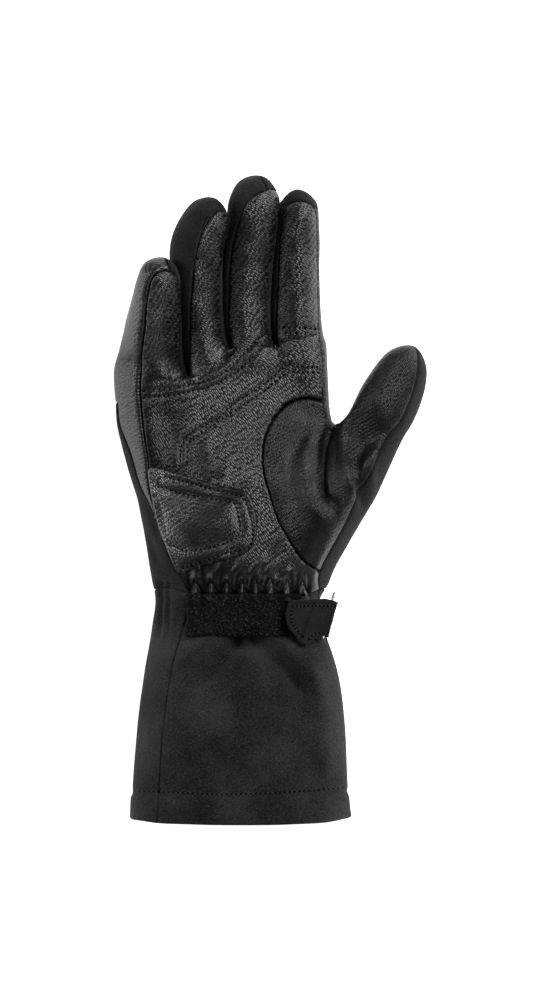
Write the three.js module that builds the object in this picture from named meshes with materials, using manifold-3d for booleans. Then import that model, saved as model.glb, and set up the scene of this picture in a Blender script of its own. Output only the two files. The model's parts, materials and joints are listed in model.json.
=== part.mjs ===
// A long-cuff motorcycle glove for the right hand, lying on its back, palm up.
// Millimetres. +X is the thumb side, +Y runs to the fingertips, +Z faces out of the palm.
// The origin is the middle of the footprint, on the surface that the glove lies on.
//
// The hand is one cage of four-sided faces: rings of the body from the hem to the
// finger bases, then a ring of eight points for each station of a finger. The cage is
// fitted so that its smooth limit surface passes close to the points of the tables,
// and each panel of leather or cloth is a set of its faces, given a wall.
import * as THREE from 'three';
import { mergeVertices } from 'three/addons/utils/BufferGeometryUtils.js';
import Module from 'manifold-3d';

// Driving dimensions
const WALL = 2.4;            // thickness of a panel
const HEM_EXTRA = 0.7;       // the turned hem is that much thicker
const HEM_TOP = -146;        // y of the hem's stitch line
const EDGE_INSET = 0.19;     // each panel's edge stays back by this, so seams stay open
const SKIN_GAP = 0.3;        // gap between a patch and what it is sewn to
const FIT_STEPS = 8;         // rounds that pull the limit surface onto the tables
const PLEAT_DEPTH = 1.3;     // the gathers above the wrist band, half their height
const PATCH_THICK = 1.1;     // heel patch leather
const PAD_RISE = 2.2;        // raised pad within the patch
const BAND_THICK = 1.8;      // loop band across the wrist
const TAB_THICK = 1.8;       // folded strap end
const RING_WIRE = 1.7;       // wire of the strap's ring
const RING_SIDES = 6;

// Columns of a body ring, in order round the hand. F0 to F8 cross the palm from the
// little-finger side, T1 to T5 turn round the thumb side, B8 to B0 come back behind.
const PALM_COLUMNS = ['F0', 'F1', 'F2', 'F3', 'F4', 'F5', 'F6', 'F7', 'F8'];
const THUMB_COLUMNS = ['T1', 'T2', 'T3', 'T4', 'T5'];
const BACK_COLUMNS = ['B8', 'B7', 'B6', 'B5', 'B4', 'B3', 'B2', 'B1', 'B0'];
const BODY_RING = ['S', ...PALM_COLUMNS, ...THUMB_COLUMNS, ...BACK_COLUMNS];
const HAND_RING = ['S', ...PALM_COLUMNS, 'C', ...BACK_COLUMNS];
const THUMB_RING = ['C', 'F8', ...THUMB_COLUMNS, 'B8'];

// Rings of the body. Each cell is x,y,z. The palm columns between those given are
// spaced along a curve through F0, F4 and F8, and those behind through B8, B4 and B1.
const BODY_FRONT = table(`
  row     S                F0               F4              F8             T1              T2
  hem     -66,-160,44      -56.5,-161,54    -13.5,-162,60   26,-160.8,56.5 32.5,-160,51    38,-159,42
  stitch  -65,-145.5,45    -55.5,-145.5,54  -13.5,-146.5,60 25.5,-144.7,56 31.5,-144,50.5  36.5,-143.7,42
  flare   -59,-95,41       -51.5,-95,49     -13.5,-95,55.5  22.5,-95,51.5  28.5,-95,46     33.3,-95,38
  strap   -50.5,-58.5,35.5 -41.5,-58.5,42   -12.5,-58.5,47  14,-58.5,44    18.5,-58.5,40.5 22.8,-58.5,35
  wrist   -50,-44,35       -40,-47,41       -11.5,-47,46    15,-47.5,43.5  19,-47,40.5     22.5,-46,37
  heel    -54.5,-29,33     -48.5,-30.5,38.5 -16,-30,46.5    15,-31.5,47    19,-34.5,45.5   22.5,-36.5,42.5
  palm    -58.9,-7.5,31.8  -56,-10,35.5     -20.5,-8,44     15,-16.5,50    21,-20.5,50.5   27.5,-22.5,48.5
  mid     -65.3,8,28.5     -59.8,8,35       -22,7,42        16,-2.5,50.5   23.5,-7,53.5    31.5,-9.5,53.5
  thenar  -70,24,26        -61.5,22,35      -21.5,21,40     19,11,48.5     27,5.5,53       36.5,3,55.5
  gusset  -75.3,37.5,22    -63.5,35,34.5    -20,34,38       24,24,43       33,18.5,49.5    43,16.5,54.5
  crotch  -76.3,48,23      -64.8,48.5,34    -17.5,47,37.5   30.5,36.5,35   40,31.5,43.5    50,28.5,51
  knuckle -77,59,24        -65,58.5,34      -20,61,37       27,55,34       -               -
`);
const BODY_BACK = table(`
  row     T3             T4             T5           B8           B4              B1             B0
  hem     40.5,-158.5,30 38.5,-158.5,15 34,-158.5,5  26,-158.5,0  -13.5,-159,-1   -60,-159,2     -69.5,-159.5,24
  stitch  39,-143.3,30   37,-143,15     32.5,-143,5  25.5,-143,0  -13.5,-144,-1   -59.5,-144.5,2 -68.8,-144.5,24
  flare   35.5,-94.5,27  33.5,-94.5,14  28.5,-94.5,5 21.5,-95,0.5 -13.5,-95,-1    -56.5,-95,2    -64.2,-95,22
  strap   25.3,-58.5,26  24,-58.5,15.5  20,-58.5,8   13.5,-58.5,4 -13.5,-58.5,2.5 -51,-58.5,5.5  -58,-57.5,21
  wrist   24.8,-45,33    27.8,-44.5,23  25,-44,11    16.5,-44,4   -13.5,-44,1.5   -51,-44,5      -58.2,-45,20.5
  heel    25,-36,38      31.5,-36,23.5  27.5,-31,10  17,-28,2     -16,-25,-1      -53,-29,3      -60.5,-33,19.5
  palm    33,-20.5,44.5  38.8,-22.5,29  33,-16,13    19,-12,2     -19,-5,-1       -58,-5,3       -64.8,-7,18.5
  mid     40,-6.5,50     46.5,-9.5,34   40,-2,16     23,2,2       -20,11,-1       -61,10,3       -68.8,8,17
  thenar  46.5,6.5,53.5  53.8,3.5,38    47,11,19.5   26.5,15,4    -21,26,-1       -63.5,25,3     -72.9,23,15.5
  gusset  53,20.5,55     60.5,18,42     54,25,23.5   30,27,9      -22,40,-1       -65.5,38,3     -75,36,12
  crotch  59.4,33,53     67,31.5,42     60,37.5,26   32.5,38,14   -22,52.5,-1     -66.5,50,3     -75.5,50,13
  knuckle -              -              -            23,62,5      -21,64,-1       -67,60,5       -76.3,60,14
`);
// The point between thumb and index finger, and the free side of the index finger
const CROTCH_POINT = [33.8, 35.5, 25];
const KNUCKLE_SIDE = [28.5, 56, 20];

// The last ring of the hand, where the four fingers begin
const BASE = table(`
  place front         back        middle
  0     -64.5,68,34.5 -75.5,67,17 -74.5,69,27
  1     -53,62,37     -54,60,4    -
  2     -41,60.5,31   -42,59,4    -41,61,18
  3     -30,66,37     -31,65,0.5  -
  4     -19.5,73,34   -20.5,69,2  -19.5,72,17
  5     -8,74.5,37.5  -9,72,0     -
  6     3.8,76.8,34   3,73.5,2    3.8,75.5,16.5
  7     14.5,79.5,37  14,76,0.5   -
  8     25.8,80,32.5  22.5,75,5   27.8,76,19
`);

// Stations of the fingers and the thumb: centre, width across, depth, and how far the
// front turns towards the thumb side, in degrees. A tip has its centre alone.
const FINGER_NAMES = ['little', 'ring', 'middle', 'index'];
const DIGITS = table(`
  station   x     y     z    width depth roll
  little_1  -59.9 72    23   30.5  30    34
  little_2  -57.1 96.5  37   26    28    35
  little_3  -55   113.5 48.5 19.5  19.5  38
  little_t  -53.3 119.5 52   0     0     0
  ring_1    -32.5 74.5  20   22    31    8
  ring_2    -35.5 97.5  26.5 22    28.5  26
  ring_3    -37.3 121.5 37   26    27    44
  ring_4    -33.5 137   44.5 24    25    54
  ring_5    -29.5 144.5 48.5 19    19    56
  ring_t    -27   150.3 51   0     0     0
  middle_1  -10.8 83.5  20   21.5  31    0
  middle_2  -12.3 107.5 25.5 23    28.5  6
  middle_3  -10   130   32.5 24.5  27    16
  middle_4  -8    147   39.5 26    26    34
  middle_5  -5.8  155   43.5 21    20    38
  middle_t  -3    161.2 46.5 0     0     0
  index_1   13.5  88.5  19   24.5  30    6
  index_2   13.6  123   27.5 22.5  27    9
  index_3   13.8  142.5 34   21    25    9
  index_4   14    149   37   17    19    8
  index_t   13.5  155   39.5 0     0     0
  thumb_1   57.2  45.2  40   31    33    0
  thumb_2   63.5  58    42.5 28.5  29    0
  thumb_3   68.6  70    46   20.5  21    0
  thumb_t   71.5  76.8  48   0     0     0
`);
// Where the eight points of a ring sit, in degrees from its front towards the thumb side
const FINGER_ANGLES = [-90, -52, 0, 52, 90, 128, 180, 232];
const THUMB_ANGLES = [-95, -60, -28, 5, 38, 90, 150, 215];

// Long folds and creases of the front: a line in x,y, how wide and how deep
const CREASES = [
  { name: 'thumb crease', line: [[30, 35], [27, 25], [26, 14], [26.5, 5], [30, -3]], wide: 3.4, deep: 3.6 },
  { name: 'outer thumb crease', line: [[53, 23], [49, 5], [46, -12]], wide: 2.6, deep: 1.6 },
  { name: 'finger base crease', line: [[-39, 60], [-24, 70]], wide: 3, deep: 1.2 },
  { name: 'left cuff fold', line: [[-20, -70], [-33, -84], [-45, -92]], wide: 5, deep: 2.6 },
  { name: 'right cuff fold', line: [[-6, -70], [8, -83], [20, -90]], wide: 5, deep: 2.4 },
];
const RIDGES = [
  { name: 'ball of the thumb', line: [[21, 30], [18, 14], [21, 0], [29, -10]], wide: 5, deep: 1.4 },
  { name: 'thumb root', line: [[37, 37], [36.5, 25], [40, 5]], wide: 4.5, deep: 1.6 },
];

// Outlines in x,y of what is cut from or laid on the palm
const GUSSET_OUTLINE = [
  [26.5, 49.5], [18, 51], [9.5, 48.7], [2.5, 41.7], [-2.3, 32], [-3.7, 22], [-3, 12.5], [-0.2, 2.5],
  [3.3, -8.8], [9, -19.3], [16.5, -30.5], [24.5, -35.7],
];
const PATCH_OUTLINE = [
  [-60, 16], [-44.5, 13], [-29.5, 8.5], [-16.5, 5.5], [-11, 3.5], [-8, -2.5], [-6.5, -10.8], [-7, -18.5],
  [-10, -25], [-19, -29], [-34.5, -33.2], [-46, -36.3], [-51.2, -25], [-56, -12], [-59, 2],
];
const PAD_OUTLINE = [
  [-56, 6.5], [-44.5, 3.5], [-29.5, 1], [-21, -0.5], [-17.5, -2.5], [-15.5, -9.8], [-15, -15],
  [-17, -19], [-24.2, -22], [-34.5, -24.5], [-43, -25], [-48, -23], [-50.5, -21], [-53.5, -9],
];
const TAB_OUTLINE = [
  [9.3, -51], [7.3, -55.5], [8, -62], [12, -67.5], [16.4, -71.8], [18.7, -72.5], [22, -69.3],
  [29.2, -67], [33.8, -51], [28.8, -49], [10.3, -50],
];
const BAND = { left: -41.5, right: 17, top: -48.5, bottom: -68 };

const COLOURS = {
  leather: { color: 0x1b1b1c, roughness: 0.55, metalness: 0 },
  softshell: { color: 0x202022, roughness: 0.9, metalness: 0 },
  knit: { color: 0x18181a, roughness: 0.95, metalness: 0 },
  loop: { color: 0x141415, roughness: 1, metalness: 0 },
  steel: { color: 0xb8babd, roughness: 0.28, metalness: 1 },
};

// Reads a table: the first line names the columns, each later line is one named row.
function table(text) {
  const [head, ...lines] = text.trim().split('\n').map((line) => line.trim().split(/\s+/));
  const cell = (word) => {
    if (word === '-') return null;
    const numbers = word.split(',').map(Number);
    return numbers.length > 1 ? numbers : numbers[0];
  };
  const rows = lines.map(([name, ...cells]) => [
    name,
    Object.fromEntries(cells.map((word, i) => [head[i + 1], cell(word)])),
  ]);
  return Object.fromEntries(rows);
}

const vector = (p) => new THREE.Vector3(...p);

// The point at u of the parabola through three points that stand at u = 0, middle, 1
function alongParabola(points, middle, u) {
  const weights = [
    ((u - middle) * (u - 1)) / middle,
    (u * (u - 1)) / (middle * (middle - 1)),
    (u * (u - middle)) / (1 - middle),
  ];
  return points.reduce((sum, p, i) => sum.addScaledVector(vector(p), weights[i]), new THREE.Vector3());
}

// The cage: points, each with its place across the palm, and four-sided faces
function buildCage() {
  const points = [];
  const across = [];
  const faces = [];
  const add = (p, column = -1) => {
    points.push(p.isVector3 ? p : vector(p));
    across.push(column);
    return points.length - 1;
  };

  const rings = Object.keys(BODY_FRONT).map((name) => {
    const row = { ...BODY_FRONT[name], ...BODY_BACK[name] };
    const ring = { name };
    PALM_COLUMNS.forEach((column, i) => {
      ring[column] = add(alongParabola([row.F0, row.F4, row.F8], 0.5, i / 8), i);
    });
    BACK_COLUMNS.slice(0, 8).forEach((column, i) => {
      ring[column] = add(alongParabola([row.B8, row.B4, row.B1], 4 / 7, i / 7));
    });
    ['S', 'B0', ...THUMB_COLUMNS].forEach((column) => {
      if (row[column]) ring[column] = add(row[column]);
    });
    if (name === 'crotch') ring.C = add(CROTCH_POINT);
    if (name === 'knuckle') ring.C = add(KNUCKLE_SIDE);
    return ring;
  });

  const join = (lower, upper, columns, panelOf) => {
    columns.forEach((a, i) => {
      const b = columns[(i + 1) % columns.length];
      faces.push({ corners: [lower[a], lower[b], upper[b], upper[a]], panel: panelOf(a, i) });
    });
  };

  const inPalm = (column) => /^F[0-7]$/.test(column);
  const inThumbFront = (column) => ['F8', 'T1', 'T2'].includes(column);
  const inThumbBack = (column) => ['T3', 'T4', 'T5'].includes(column);
  const cuffPanel = (column) => (inPalm(column) || inThumbFront(column) ? 'cuff_front' : 'cuff_back');
  const handPanel = (row) => (column) => {
    if (inPalm(column) || inThumbFront(column)) return 'palm_leather';
    if (inThumbBack(column)) return 'thumb_back';
    const sidePanelRow = ['palm', 'mid', 'thenar', 'gusset'].includes(row);
    return column === 'S' && sidePanelRow ? 'outer_side_panel' : 'back_panel';
  };
  const knucklePanel = (column) => {
    if (inPalm(column)) return 'palm_leather';
    if (column === 'F8' || column === 'C') return 'index_side_panel';
    return column === 'S' || column === 'B0' ? 'outer_side_panel' : 'back_panel';
  };
  for (let i = 0; i < rings.length - 1; i += 1) {
    const [lower, upper] = [rings[i], rings[i + 1]];
    if (upper.name === 'knuckle') join(lower, upper, HAND_RING, knucklePanel);
    else join(lower, upper, BODY_RING, ['hem', 'stitch', 'flare', 'strap'].includes(lower.name)
      ? cuffPanel : handPanel(lower.name));
  }

  const base = {};
  PALM_COLUMNS.forEach((column, i) => {
    base[column] = add(BASE[i].front, i);
    base[`B${i}`] = add(BASE[i].back);
  });
  const between = [0, 2, 4, 6, 8].map((i) => add(BASE[i].middle));
  [base.S] = between;
  base.C = between[4];
  join(rings.at(-1), base, HAND_RING, knucklePanel);

  const walls = [
    'outer_side_panel', 'wall_little_ring', 'wall_ring_middle', 'wall_middle_index', 'index_side_panel',
  ];
  FINGER_NAMES.forEach((finger, k) => {
    const first = [
      between[k], base[`F${2 * k}`], base[`F${2 * k + 1}`], base[`F${2 * k + 2}`],
      between[k + 1], base[`B${2 * k + 2}`], base[`B${2 * k + 1}`], base[`B${2 * k}`],
    ];
    const panels = [
      walls[k], 'palm_leather', 'palm_leather', walls[k + 1],
      walls[k + 1], 'back_panel', 'back_panel', walls[k],
    ];
    growDigit(finger, first, FINGER_ANGLES, panels, [walls[k], walls[k], 'back_panel', 'back_panel']);
  });
  const crotch = rings.find((ring) => ring.name === 'crotch');
  growDigit(
    'thumb',
    THUMB_RING.map((column) => crotch[column]),
    THUMB_ANGLES,
    [...Array(4).fill('palm_leather'), ...Array(4).fill('thumb_back')],
    ['palm_leather', 'palm_leather', 'thumb_back', 'thumb_back'],
  );
  return { points, across, faces };

  // Rings of eight points from the base to the tip, which four faces close
  function growDigit(digit, first, angles, panels, tipPanels) {
    const names = Object.keys(DIGITS).filter((name) => name.startsWith(`${digit}_`));
    const stations = names.map((name) => DIGITS[name]);
    const centre = (s) => new THREE.Vector3(s.x, s.y, s.z);
    let lower = first;
    stations.slice(0, -1).forEach((station, i) => {
      const before = () => centre(station).multiplyScalar(2).sub(centre(stations[1]));
      const from = i > 0 ? centre(stations[i - 1]) : before();
      const along = centre(stations[i + 1]).sub(from).normalize();
      const outward = new THREE.Vector3(along.y, -along.x, 0).normalize();
      const front = new THREE.Vector3().crossVectors(outward, along);
      const upper = angles.map((angle) => {
        const turn = THREE.MathUtils.degToRad(angle + station.roll);
        return add(centre(station)
          .addScaledVector(outward, (Math.sin(turn) * station.width) / 2)
          .addScaledVector(front, (Math.cos(turn) * station.depth) / 2));
      });
      const [low, high] = [lower, upper];
      low.forEach((_, a) => {
        const b = (a + 1) % 8;
        faces.push({ corners: [low[a], low[b], high[b], high[a]], panel: panels[a] });
      });
      lower = upper;
    });
    const tip = add(centre(stations.at(-1)));
    [0, 2, 4, 6].forEach((a, i) => {
      const ringPoint = (step) => lower[(a + step) % 8];
      faces.push({ corners: [ringPoint(0), ringPoint(1), ringPoint(2), tip], panel: tipPanels[i] });
    });
  }
}

// Each point's neighbours: along edges, across faces, and along the open hem
function neighbours(count, faces) {
  const edges = Array.from({ length: count }, () => new Map());
  const diagonals = Array.from({ length: count }, () => []);
  faces.forEach(({ corners }) => corners.forEach((v, i) => {
    const [next, previous] = [corners[(i + 1) % 4], corners[(i + 3) % 4]];
    [next, previous].forEach((w) => edges[v].set(w, (edges[v].get(w) ?? 0) + 1));
    diagonals[v].push(corners[(i + 2) % 4]);
  }));
  return edges.map((map, v) => ({
    edges: [...map.keys()],
    open: [...map].filter(([, uses]) => uses === 1).map(([w]) => w),
    diagonals: diagonals[v],
  }));
}

// Where each point of a cage ends up on its smooth limit surface
function limitPoints(points, near) {
  return points.map((p, v) => {
    const { edges, open, diagonals } = near[v];
    if (open.length === 2) {
      return p.clone().multiplyScalar(4).add(points[open[0]]).add(points[open[1]]).divideScalar(6);
    }
    const n = edges.length;
    const sum = p.clone().multiplyScalar(n * n);
    edges.forEach((w) => sum.addScaledVector(points[w], 4));
    diagonals.forEach((w) => sum.add(points[w]));
    return sum.divideScalar(n * (n + 5));
  });
}

function fitCage(targets, near) {
  let cage = targets.map((p) => p.clone());
  for (let step = 0; step < FIT_STEPS; step += 1) {
    const limit = limitPoints(cage, near);
    cage = cage.map((p, v) => p.clone().add(targets[v]).sub(limit[v]));
  }
  return cage;
}

// One round of Catmull-Clark subdivision, which keeps each face's panel
function subdivide({ points, across, faces }, near) {
  const newPoints = [];
  const newAcross = [];
  const mean = (list) => list.reduce((sum, p) => sum.add(p), new THREE.Vector3()).divideScalar(list.length);
  const meanAcross = (list) => (list.some((a) => a < 0) ? -1 : list.reduce((s, a) => s + a, 0) / list.length);
  const add = (p, a) => {
    newPoints.push(p);
    newAcross.push(a);
    return newPoints.length - 1;
  };
  const facePoints = faces.map(({ corners }) => mean(corners.map((v) => points[v])));
  const edgeFaces = new Map();
  const key = (a, b) => (a < b ? `${a}_${b}` : `${b}_${a}`);
  faces.forEach(({ corners }, f) => corners.forEach((v, i) => {
    const name = key(v, corners[(i + 1) % 4]);
    edgeFaces.set(name, [...(edgeFaces.get(name) ?? []), f]);
  }));
  const touching = points.map(() => []);
  faces.forEach(({ corners }, f) => corners.forEach((v) => touching[v].push(f)));
  const cornerIndex = points.map((p, v) => {
    const { edges, open } = near[v];
    if (open.length === 2) {
      const edge = p.clone().multiplyScalar(6).add(points[open[0]]).add(points[open[1]]);
      return add(edge.divideScalar(8), across[v]);
    }
    const n = edges.length;
    const round = mean(edges.map((w) => p.clone().add(points[w]).multiplyScalar(0.5)));
    const middle = mean(touching[v].map((f) => facePoints[f]));
    return add(middle.addScaledVector(round, 2).addScaledVector(p, n - 3).divideScalar(n), across[v]);
  });
  const edgeIndex = new Map();
  edgeFaces.forEach((list, name) => {
    const [a, b] = name.split('_').map(Number);
    const ends = [points[a], points[b]];
    const p = list.length === 2 ? mean([...ends, facePoints[list[0]], facePoints[list[1]]]) : mean(ends);
    edgeIndex.set(name, add(p, meanAcross([across[a], across[b]])));
  });
  const newFaces = [];
  faces.forEach(({ corners, panel }, f) => {
    const centre = add(facePoints[f], meanAcross(corners.map((v) => across[v])));
    corners.forEach((v, i) => {
      const after = edgeIndex.get(key(v, corners[(i + 1) % 4]));
      const before = edgeIndex.get(key(v, corners[(i + 3) % 4]));
      newFaces.push({ corners: [cornerIndex[v], after, centre, before], panel });
    });
  });
  return { points: newPoints, across: newAcross, faces: newFaces };
}

function pointNormals(points, faces) {
  const normals = points.map(() => new THREE.Vector3());
  faces.forEach(({ corners }) => {
    const [a, b, c, d] = corners.map((v) => points[v]);
    const normal = new THREE.Vector3().crossVectors(c.clone().sub(a), d.clone().sub(b));
    corners.forEach((v) => normals[v].add(normal));
  });
  return normals.map((n) => n.normalize());
}

function distanceToLine(p, line) {
  let best = Infinity;
  for (let i = 0; i < line.length - 1; i += 1) {
    const [a, b] = [new THREE.Vector2(...line[i]), new THREE.Vector2(...line[i + 1])];
    const run = b.clone().sub(a);
    const at = new THREE.Vector2(p.x, p.y).sub(a);
    const t = THREE.MathUtils.clamp(at.dot(run) / run.lengthSq(), 0, 1);
    best = Math.min(best, at.addScaledVector(run, -t).length());
  }
  return best;
}

// Folds, creases and gathers move the points of the front along their normals
function addForms(points, across, faces) {
  const normals = pointNormals(points, faces);
  return points.map((p, v) => {
    const n = normals[v];
    const facing = THREE.MathUtils.smoothstep(n.z, 0.25, 0.6);
    let rise = 0;
    const bump = ({ line, wide, deep }) => deep * Math.exp(-((distanceToLine(p, line) / wide) ** 2));
    CREASES.forEach((crease) => { rise -= bump(crease); });
    RIDGES.forEach((ridge) => { rise += bump(ridge); });
    if (across[v] >= 0) {
      const start = THREE.MathUtils.smoothstep(p.y, -56, -49);
      const fade = start * (1 - THREE.MathUtils.smoothstep(p.y, -44, -28));
      rise -= PLEAT_DEPTH * fade * Math.cos(2 * Math.PI * across[v]);
    }
    const moved = p.clone().addScaledVector(n, rise * facing);
    moved.z = Math.max(moved.z, 0);
    return moved;
  });
}

// A closed solid between two offsets of a set of faces. The open edge is set back by
// the inset, within the surface, so that panels that share a seam don't touch.
function wallSolid(skin, chosen, outer, inner, inset) {
  const { points, normals } = skin;
  const open = new Map();
  chosen.forEach(({ corners }) => corners.forEach((v, i) => {
    const w = corners[(i + 1) % 4];
    if (open.has(`${w}_${v}`)) open.delete(`${w}_${v}`);
    else open.set(`${v}_${w}`, [v, w]);
  }));
  const shift = new Map();
  const inwardOf = ([v, w]) => {
    const run = points[w].clone().sub(points[v]);
    const normal = normals[v].clone().add(normals[w]);
    return normal.cross(run).normalize();
  };
  open.forEach((edge) => edge.forEach((v) => {
    shift.set(v, (shift.get(v) ?? []).concat([inwardOf(edge)]));
  }));
  const inwardShift = (v) => {
    const list = shift.get(v);
    if (!list) return new THREE.Vector3();
    const sum = list.reduce((s, d) => s.add(d), new THREE.Vector3()).normalize();
    const spread = Math.max(0.2, list[0].dot(sum));
    return sum.multiplyScalar(inset / spread);
  };
  const place = new Map();
  const positions = [];
  const put = (v, side) => {
    const name = `${v}_${side}`;
    if (!place.has(name)) {
      const depth = side === 'out' ? outer(points[v]) : inner(points[v]);
      const p = points[v].clone().addScaledVector(normals[v], depth).add(inwardShift(v));
      if (side === 'in') p.z = Math.max(p.z, points[v].z < 0.01 ? -depth * 0.9 : 0.05);
      place.set(name, positions.length / 3);
      positions.push(p.x, p.y, p.z);
    }
    return place.get(name);
  };
  const triangles = [];
  chosen.forEach(({ corners: [a, b, c, d] }) => {
    const short = points[a].distanceTo(points[c]) <= points[b].distanceTo(points[d]);
    const halves = short ? [[a, b, c], [a, c, d]] : [[a, b, d], [b, c, d]];
    halves.forEach(([i, j, k]) => {
      triangles.push(put(i, 'out'), put(j, 'out'), put(k, 'out'));
      triangles.push(put(i, 'in'), put(k, 'in'), put(j, 'in'));
    });
  });
  open.forEach(([v, w]) => {
    triangles.push(put(v, 'out'), put(v, 'in'), put(w, 'in'));
    triangles.push(put(v, 'out'), put(w, 'in'), put(w, 'out'));
  });
  const geometry = new THREE.BufferGeometry();
  geometry.setAttribute('position', new THREE.Float32BufferAttribute(positions, 3));
  geometry.setIndex(triangles);
  return geometry;
}

const wasm = await Module();
wasm.setup();

function toSolid(geometry) {
  const plain = geometry.clone();
  ['normal', 'uv'].forEach((name) => plain.deleteAttribute(name));
  const merged = mergeVertices(plain, 1e-4);
  return new wasm.Manifold(new wasm.Mesh({
    numProp: 3,
    vertProperties: new Float32Array(merged.attributes.position.array),
    triVerts: new Uint32Array(merged.index.array),
  }));
}

function toGeometry(solid) {
  const mesh = solid.getMesh();
  const geometry = new THREE.BufferGeometry();
  geometry.setAttribute('position', new THREE.BufferAttribute(new Float32Array(mesh.vertProperties), 3));
  geometry.setIndex(new THREE.BufferAttribute(new Uint32Array(mesh.triVerts), 1));
  return geometry;
}

// The largest connected part of a cut
function mainPart(solid) {
  return solid.decompose().sort((a, b) => b.volume() - a.volume())[0];
}

// An upright block over an outline in x,y, grown or shrunk by an amount all round
function block(outline, low, high, grow = 0) {
  const middle = outline.reduce((s, [x, y]) => s.add(new THREE.Vector2(x, y)), new THREE.Vector2())
    .divideScalar(outline.length);
  const turned = outline.map(([x, y], i) => {
    const [x0, y0] = outline[(i + outline.length - 1) % outline.length];
    const [x1, y1] = outline[(i + 1) % outline.length];
    const side = new THREE.Vector2(y1 - y0, x0 - x1).normalize();
    const out = side.dot(new THREE.Vector2(x, y).sub(middle)) > 0 ? 1 : -1;
    return new THREE.Vector2(x, y).addScaledVector(side, out * grow);
  });
  const geometry = new THREE.ExtrudeGeometry(new THREE.Shape(turned), {
    depth: high - low, bevelEnabled: false, curveSegments: 1,
  });
  geometry.translate(0, 0, low);
  return toSolid(geometry);
}

function smoothOutline(outline, count) {
  return new THREE.SplineCurve(outline.map((p) => new THREE.Vector2(...p)))
    .getPoints(count).map((p) => [p.x, p.y]);
}

const cage = buildCage();
const cageNear = neighbours(cage.points.length, cage.faces);
const fitted = { ...cage, points: fitCage(cage.points, cageNear) };
const fine = subdivide(fitted, cageNear);
const fineNear = neighbours(fine.points.length, fine.faces);
const formed = addForms(limitPoints(fine.points, fineNear), fine.across, fine.faces);
const skin = { points: formed, faces: fine.faces, normals: pointNormals(formed, fine.faces) };

const glove = new THREE.Group();
function addPiece(name, solid, finish) {
  const mesh = new THREE.Mesh(toGeometry(mainPart(solid)), new THREE.MeshStandardMaterial(COLOURS[finish]));
  mesh.name = name;
  glove.add(mesh);
}

const flush = () => 0;
const wallDepth = (p) => -(WALL + (p.y < HEM_TOP ? HEM_EXTRA : 0));
const panelFaces = (panel) => skin.faces.filter((face) => face.panel === panel);
const panel = (name) => toSolid(wallSolid(skin, panelFaces(name), flush, wallDepth, EDGE_INSET));

// At the ends of some seams the panels crowd together. There the first panel is trimmed
// back from a copy of its neighbour that is grown by the gap.
const TRIMS = {
  palm_leather: ['outer_side_panel', 'wall_ring_middle', 'wall_middle_index', 'back_panel'],
  back_panel: ['outer_side_panel', 'wall_ring_middle', 'wall_middle_index'],
};
const grown = (name) => toSolid(wallSolid(
  skin, panelFaces(name), () => SKIN_GAP, (p) => wallDepth(p) - SKIN_GAP, EDGE_INSET - SKIN_GAP,
));
const trim = (solid, other) => solid.subtract(grown(other));
const trimmed = (name) => (TRIMS[name] ?? []).reduce(trim, panel(name));

// The palm and the thumb's front are cut from one skin along the oval gusset seam
const gussetEdge = smoothOutline(GUSSET_OUTLINE, 20);
const THUMB_REACH = [[60, -36], [95, -20], [95, 90], [45, 90], [33.2, 38.5], [27.8, 43]];
const gussetRegion = [...gussetEdge, ...THUMB_REACH];
const frontLeather = trimmed('palm_leather');
addPiece('palm_leather', frontLeather.subtract(block(gussetRegion, -5, 90, 0.16)), 'leather');
addPiece('thumb_gusset', frontLeather.intersect(block(gussetRegion, -5, 90, -0.16)), 'leather');

const PANELS = [
  ['outer_side_panel', 'leather'],
  ['wall_little_ring', 'softshell'],
  ['wall_ring_middle', 'softshell'],
  ['wall_middle_index', 'softshell'],
  ['index_side_panel', 'knit'],
  ['back_panel', 'softshell'],
  ['thumb_back', 'softshell'],
  ['cuff_front', 'softshell'],
  ['cuff_back', 'softshell'],
];
PANELS.forEach(([name, finish]) => addPiece(name, trimmed(name), finish));

// A layer laid on the front: a slab that follows the skin of a panel, cut to an outline
function layer(panelName, keep, outline, low, high) {
  const kept = (v) => keep(skin.points[v], skin.normals[v]);
  const faces = panelFaces(panelName).filter(({ corners }) => corners.every(kept));
  const slab = wallSolid(skin, faces, () => high, () => low, 0);
  return toSolid(slab).intersect(block(outline, 10, 80));
}
const onHeel = (p, n) => n.z > 0.2 && p.y < 45 && p.x < 20;
const patchOutline = smoothOutline(PATCH_OUTLINE, 20);
const padOutline = smoothOutline(PAD_OUTLINE, 18);
const patchTop = SKIN_GAP + PATCH_THICK;
const padBase = patchTop + SKIN_GAP;
addPiece('heel_patch', layer('palm_leather', onHeel, patchOutline, SKIN_GAP, patchTop), 'leather');
addPiece('heel_pad', layer('palm_leather', onHeel, padOutline, padBase, padBase + PAD_RISE), 'leather');

const bandOutline = [
  [BAND.left, BAND.bottom], [BAND.right, BAND.bottom], [BAND.right, BAND.top], [BAND.left, BAND.top],
];
const atWrist = (p, n) => n.z > -0.3 && p.y < -40 && p.y > -80;
const bandTop = SKIN_GAP + BAND_THICK;
addPiece('wrist_loop_band', layer('cuff_front', atWrist, bandOutline, SKIN_GAP, bandTop), 'loop');

// The strap's fastening stands at the thumb side of the wrist, leaning with the tab's
// end. The tab is folded round one leg of the ring, and the holder round the other.
const FASTENER = { x: 29, y: -58.6, z: 43.3, leanDegrees: -15.7, tiltDegrees: -9 };
const RING = { reachX: -0.2, reachZ: -5.8, halfLength: 10.2, rise: 0, corner: 1.4, steps: 20 };
const legHole = RING_WIRE / 2 + SKIN_GAP;

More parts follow.
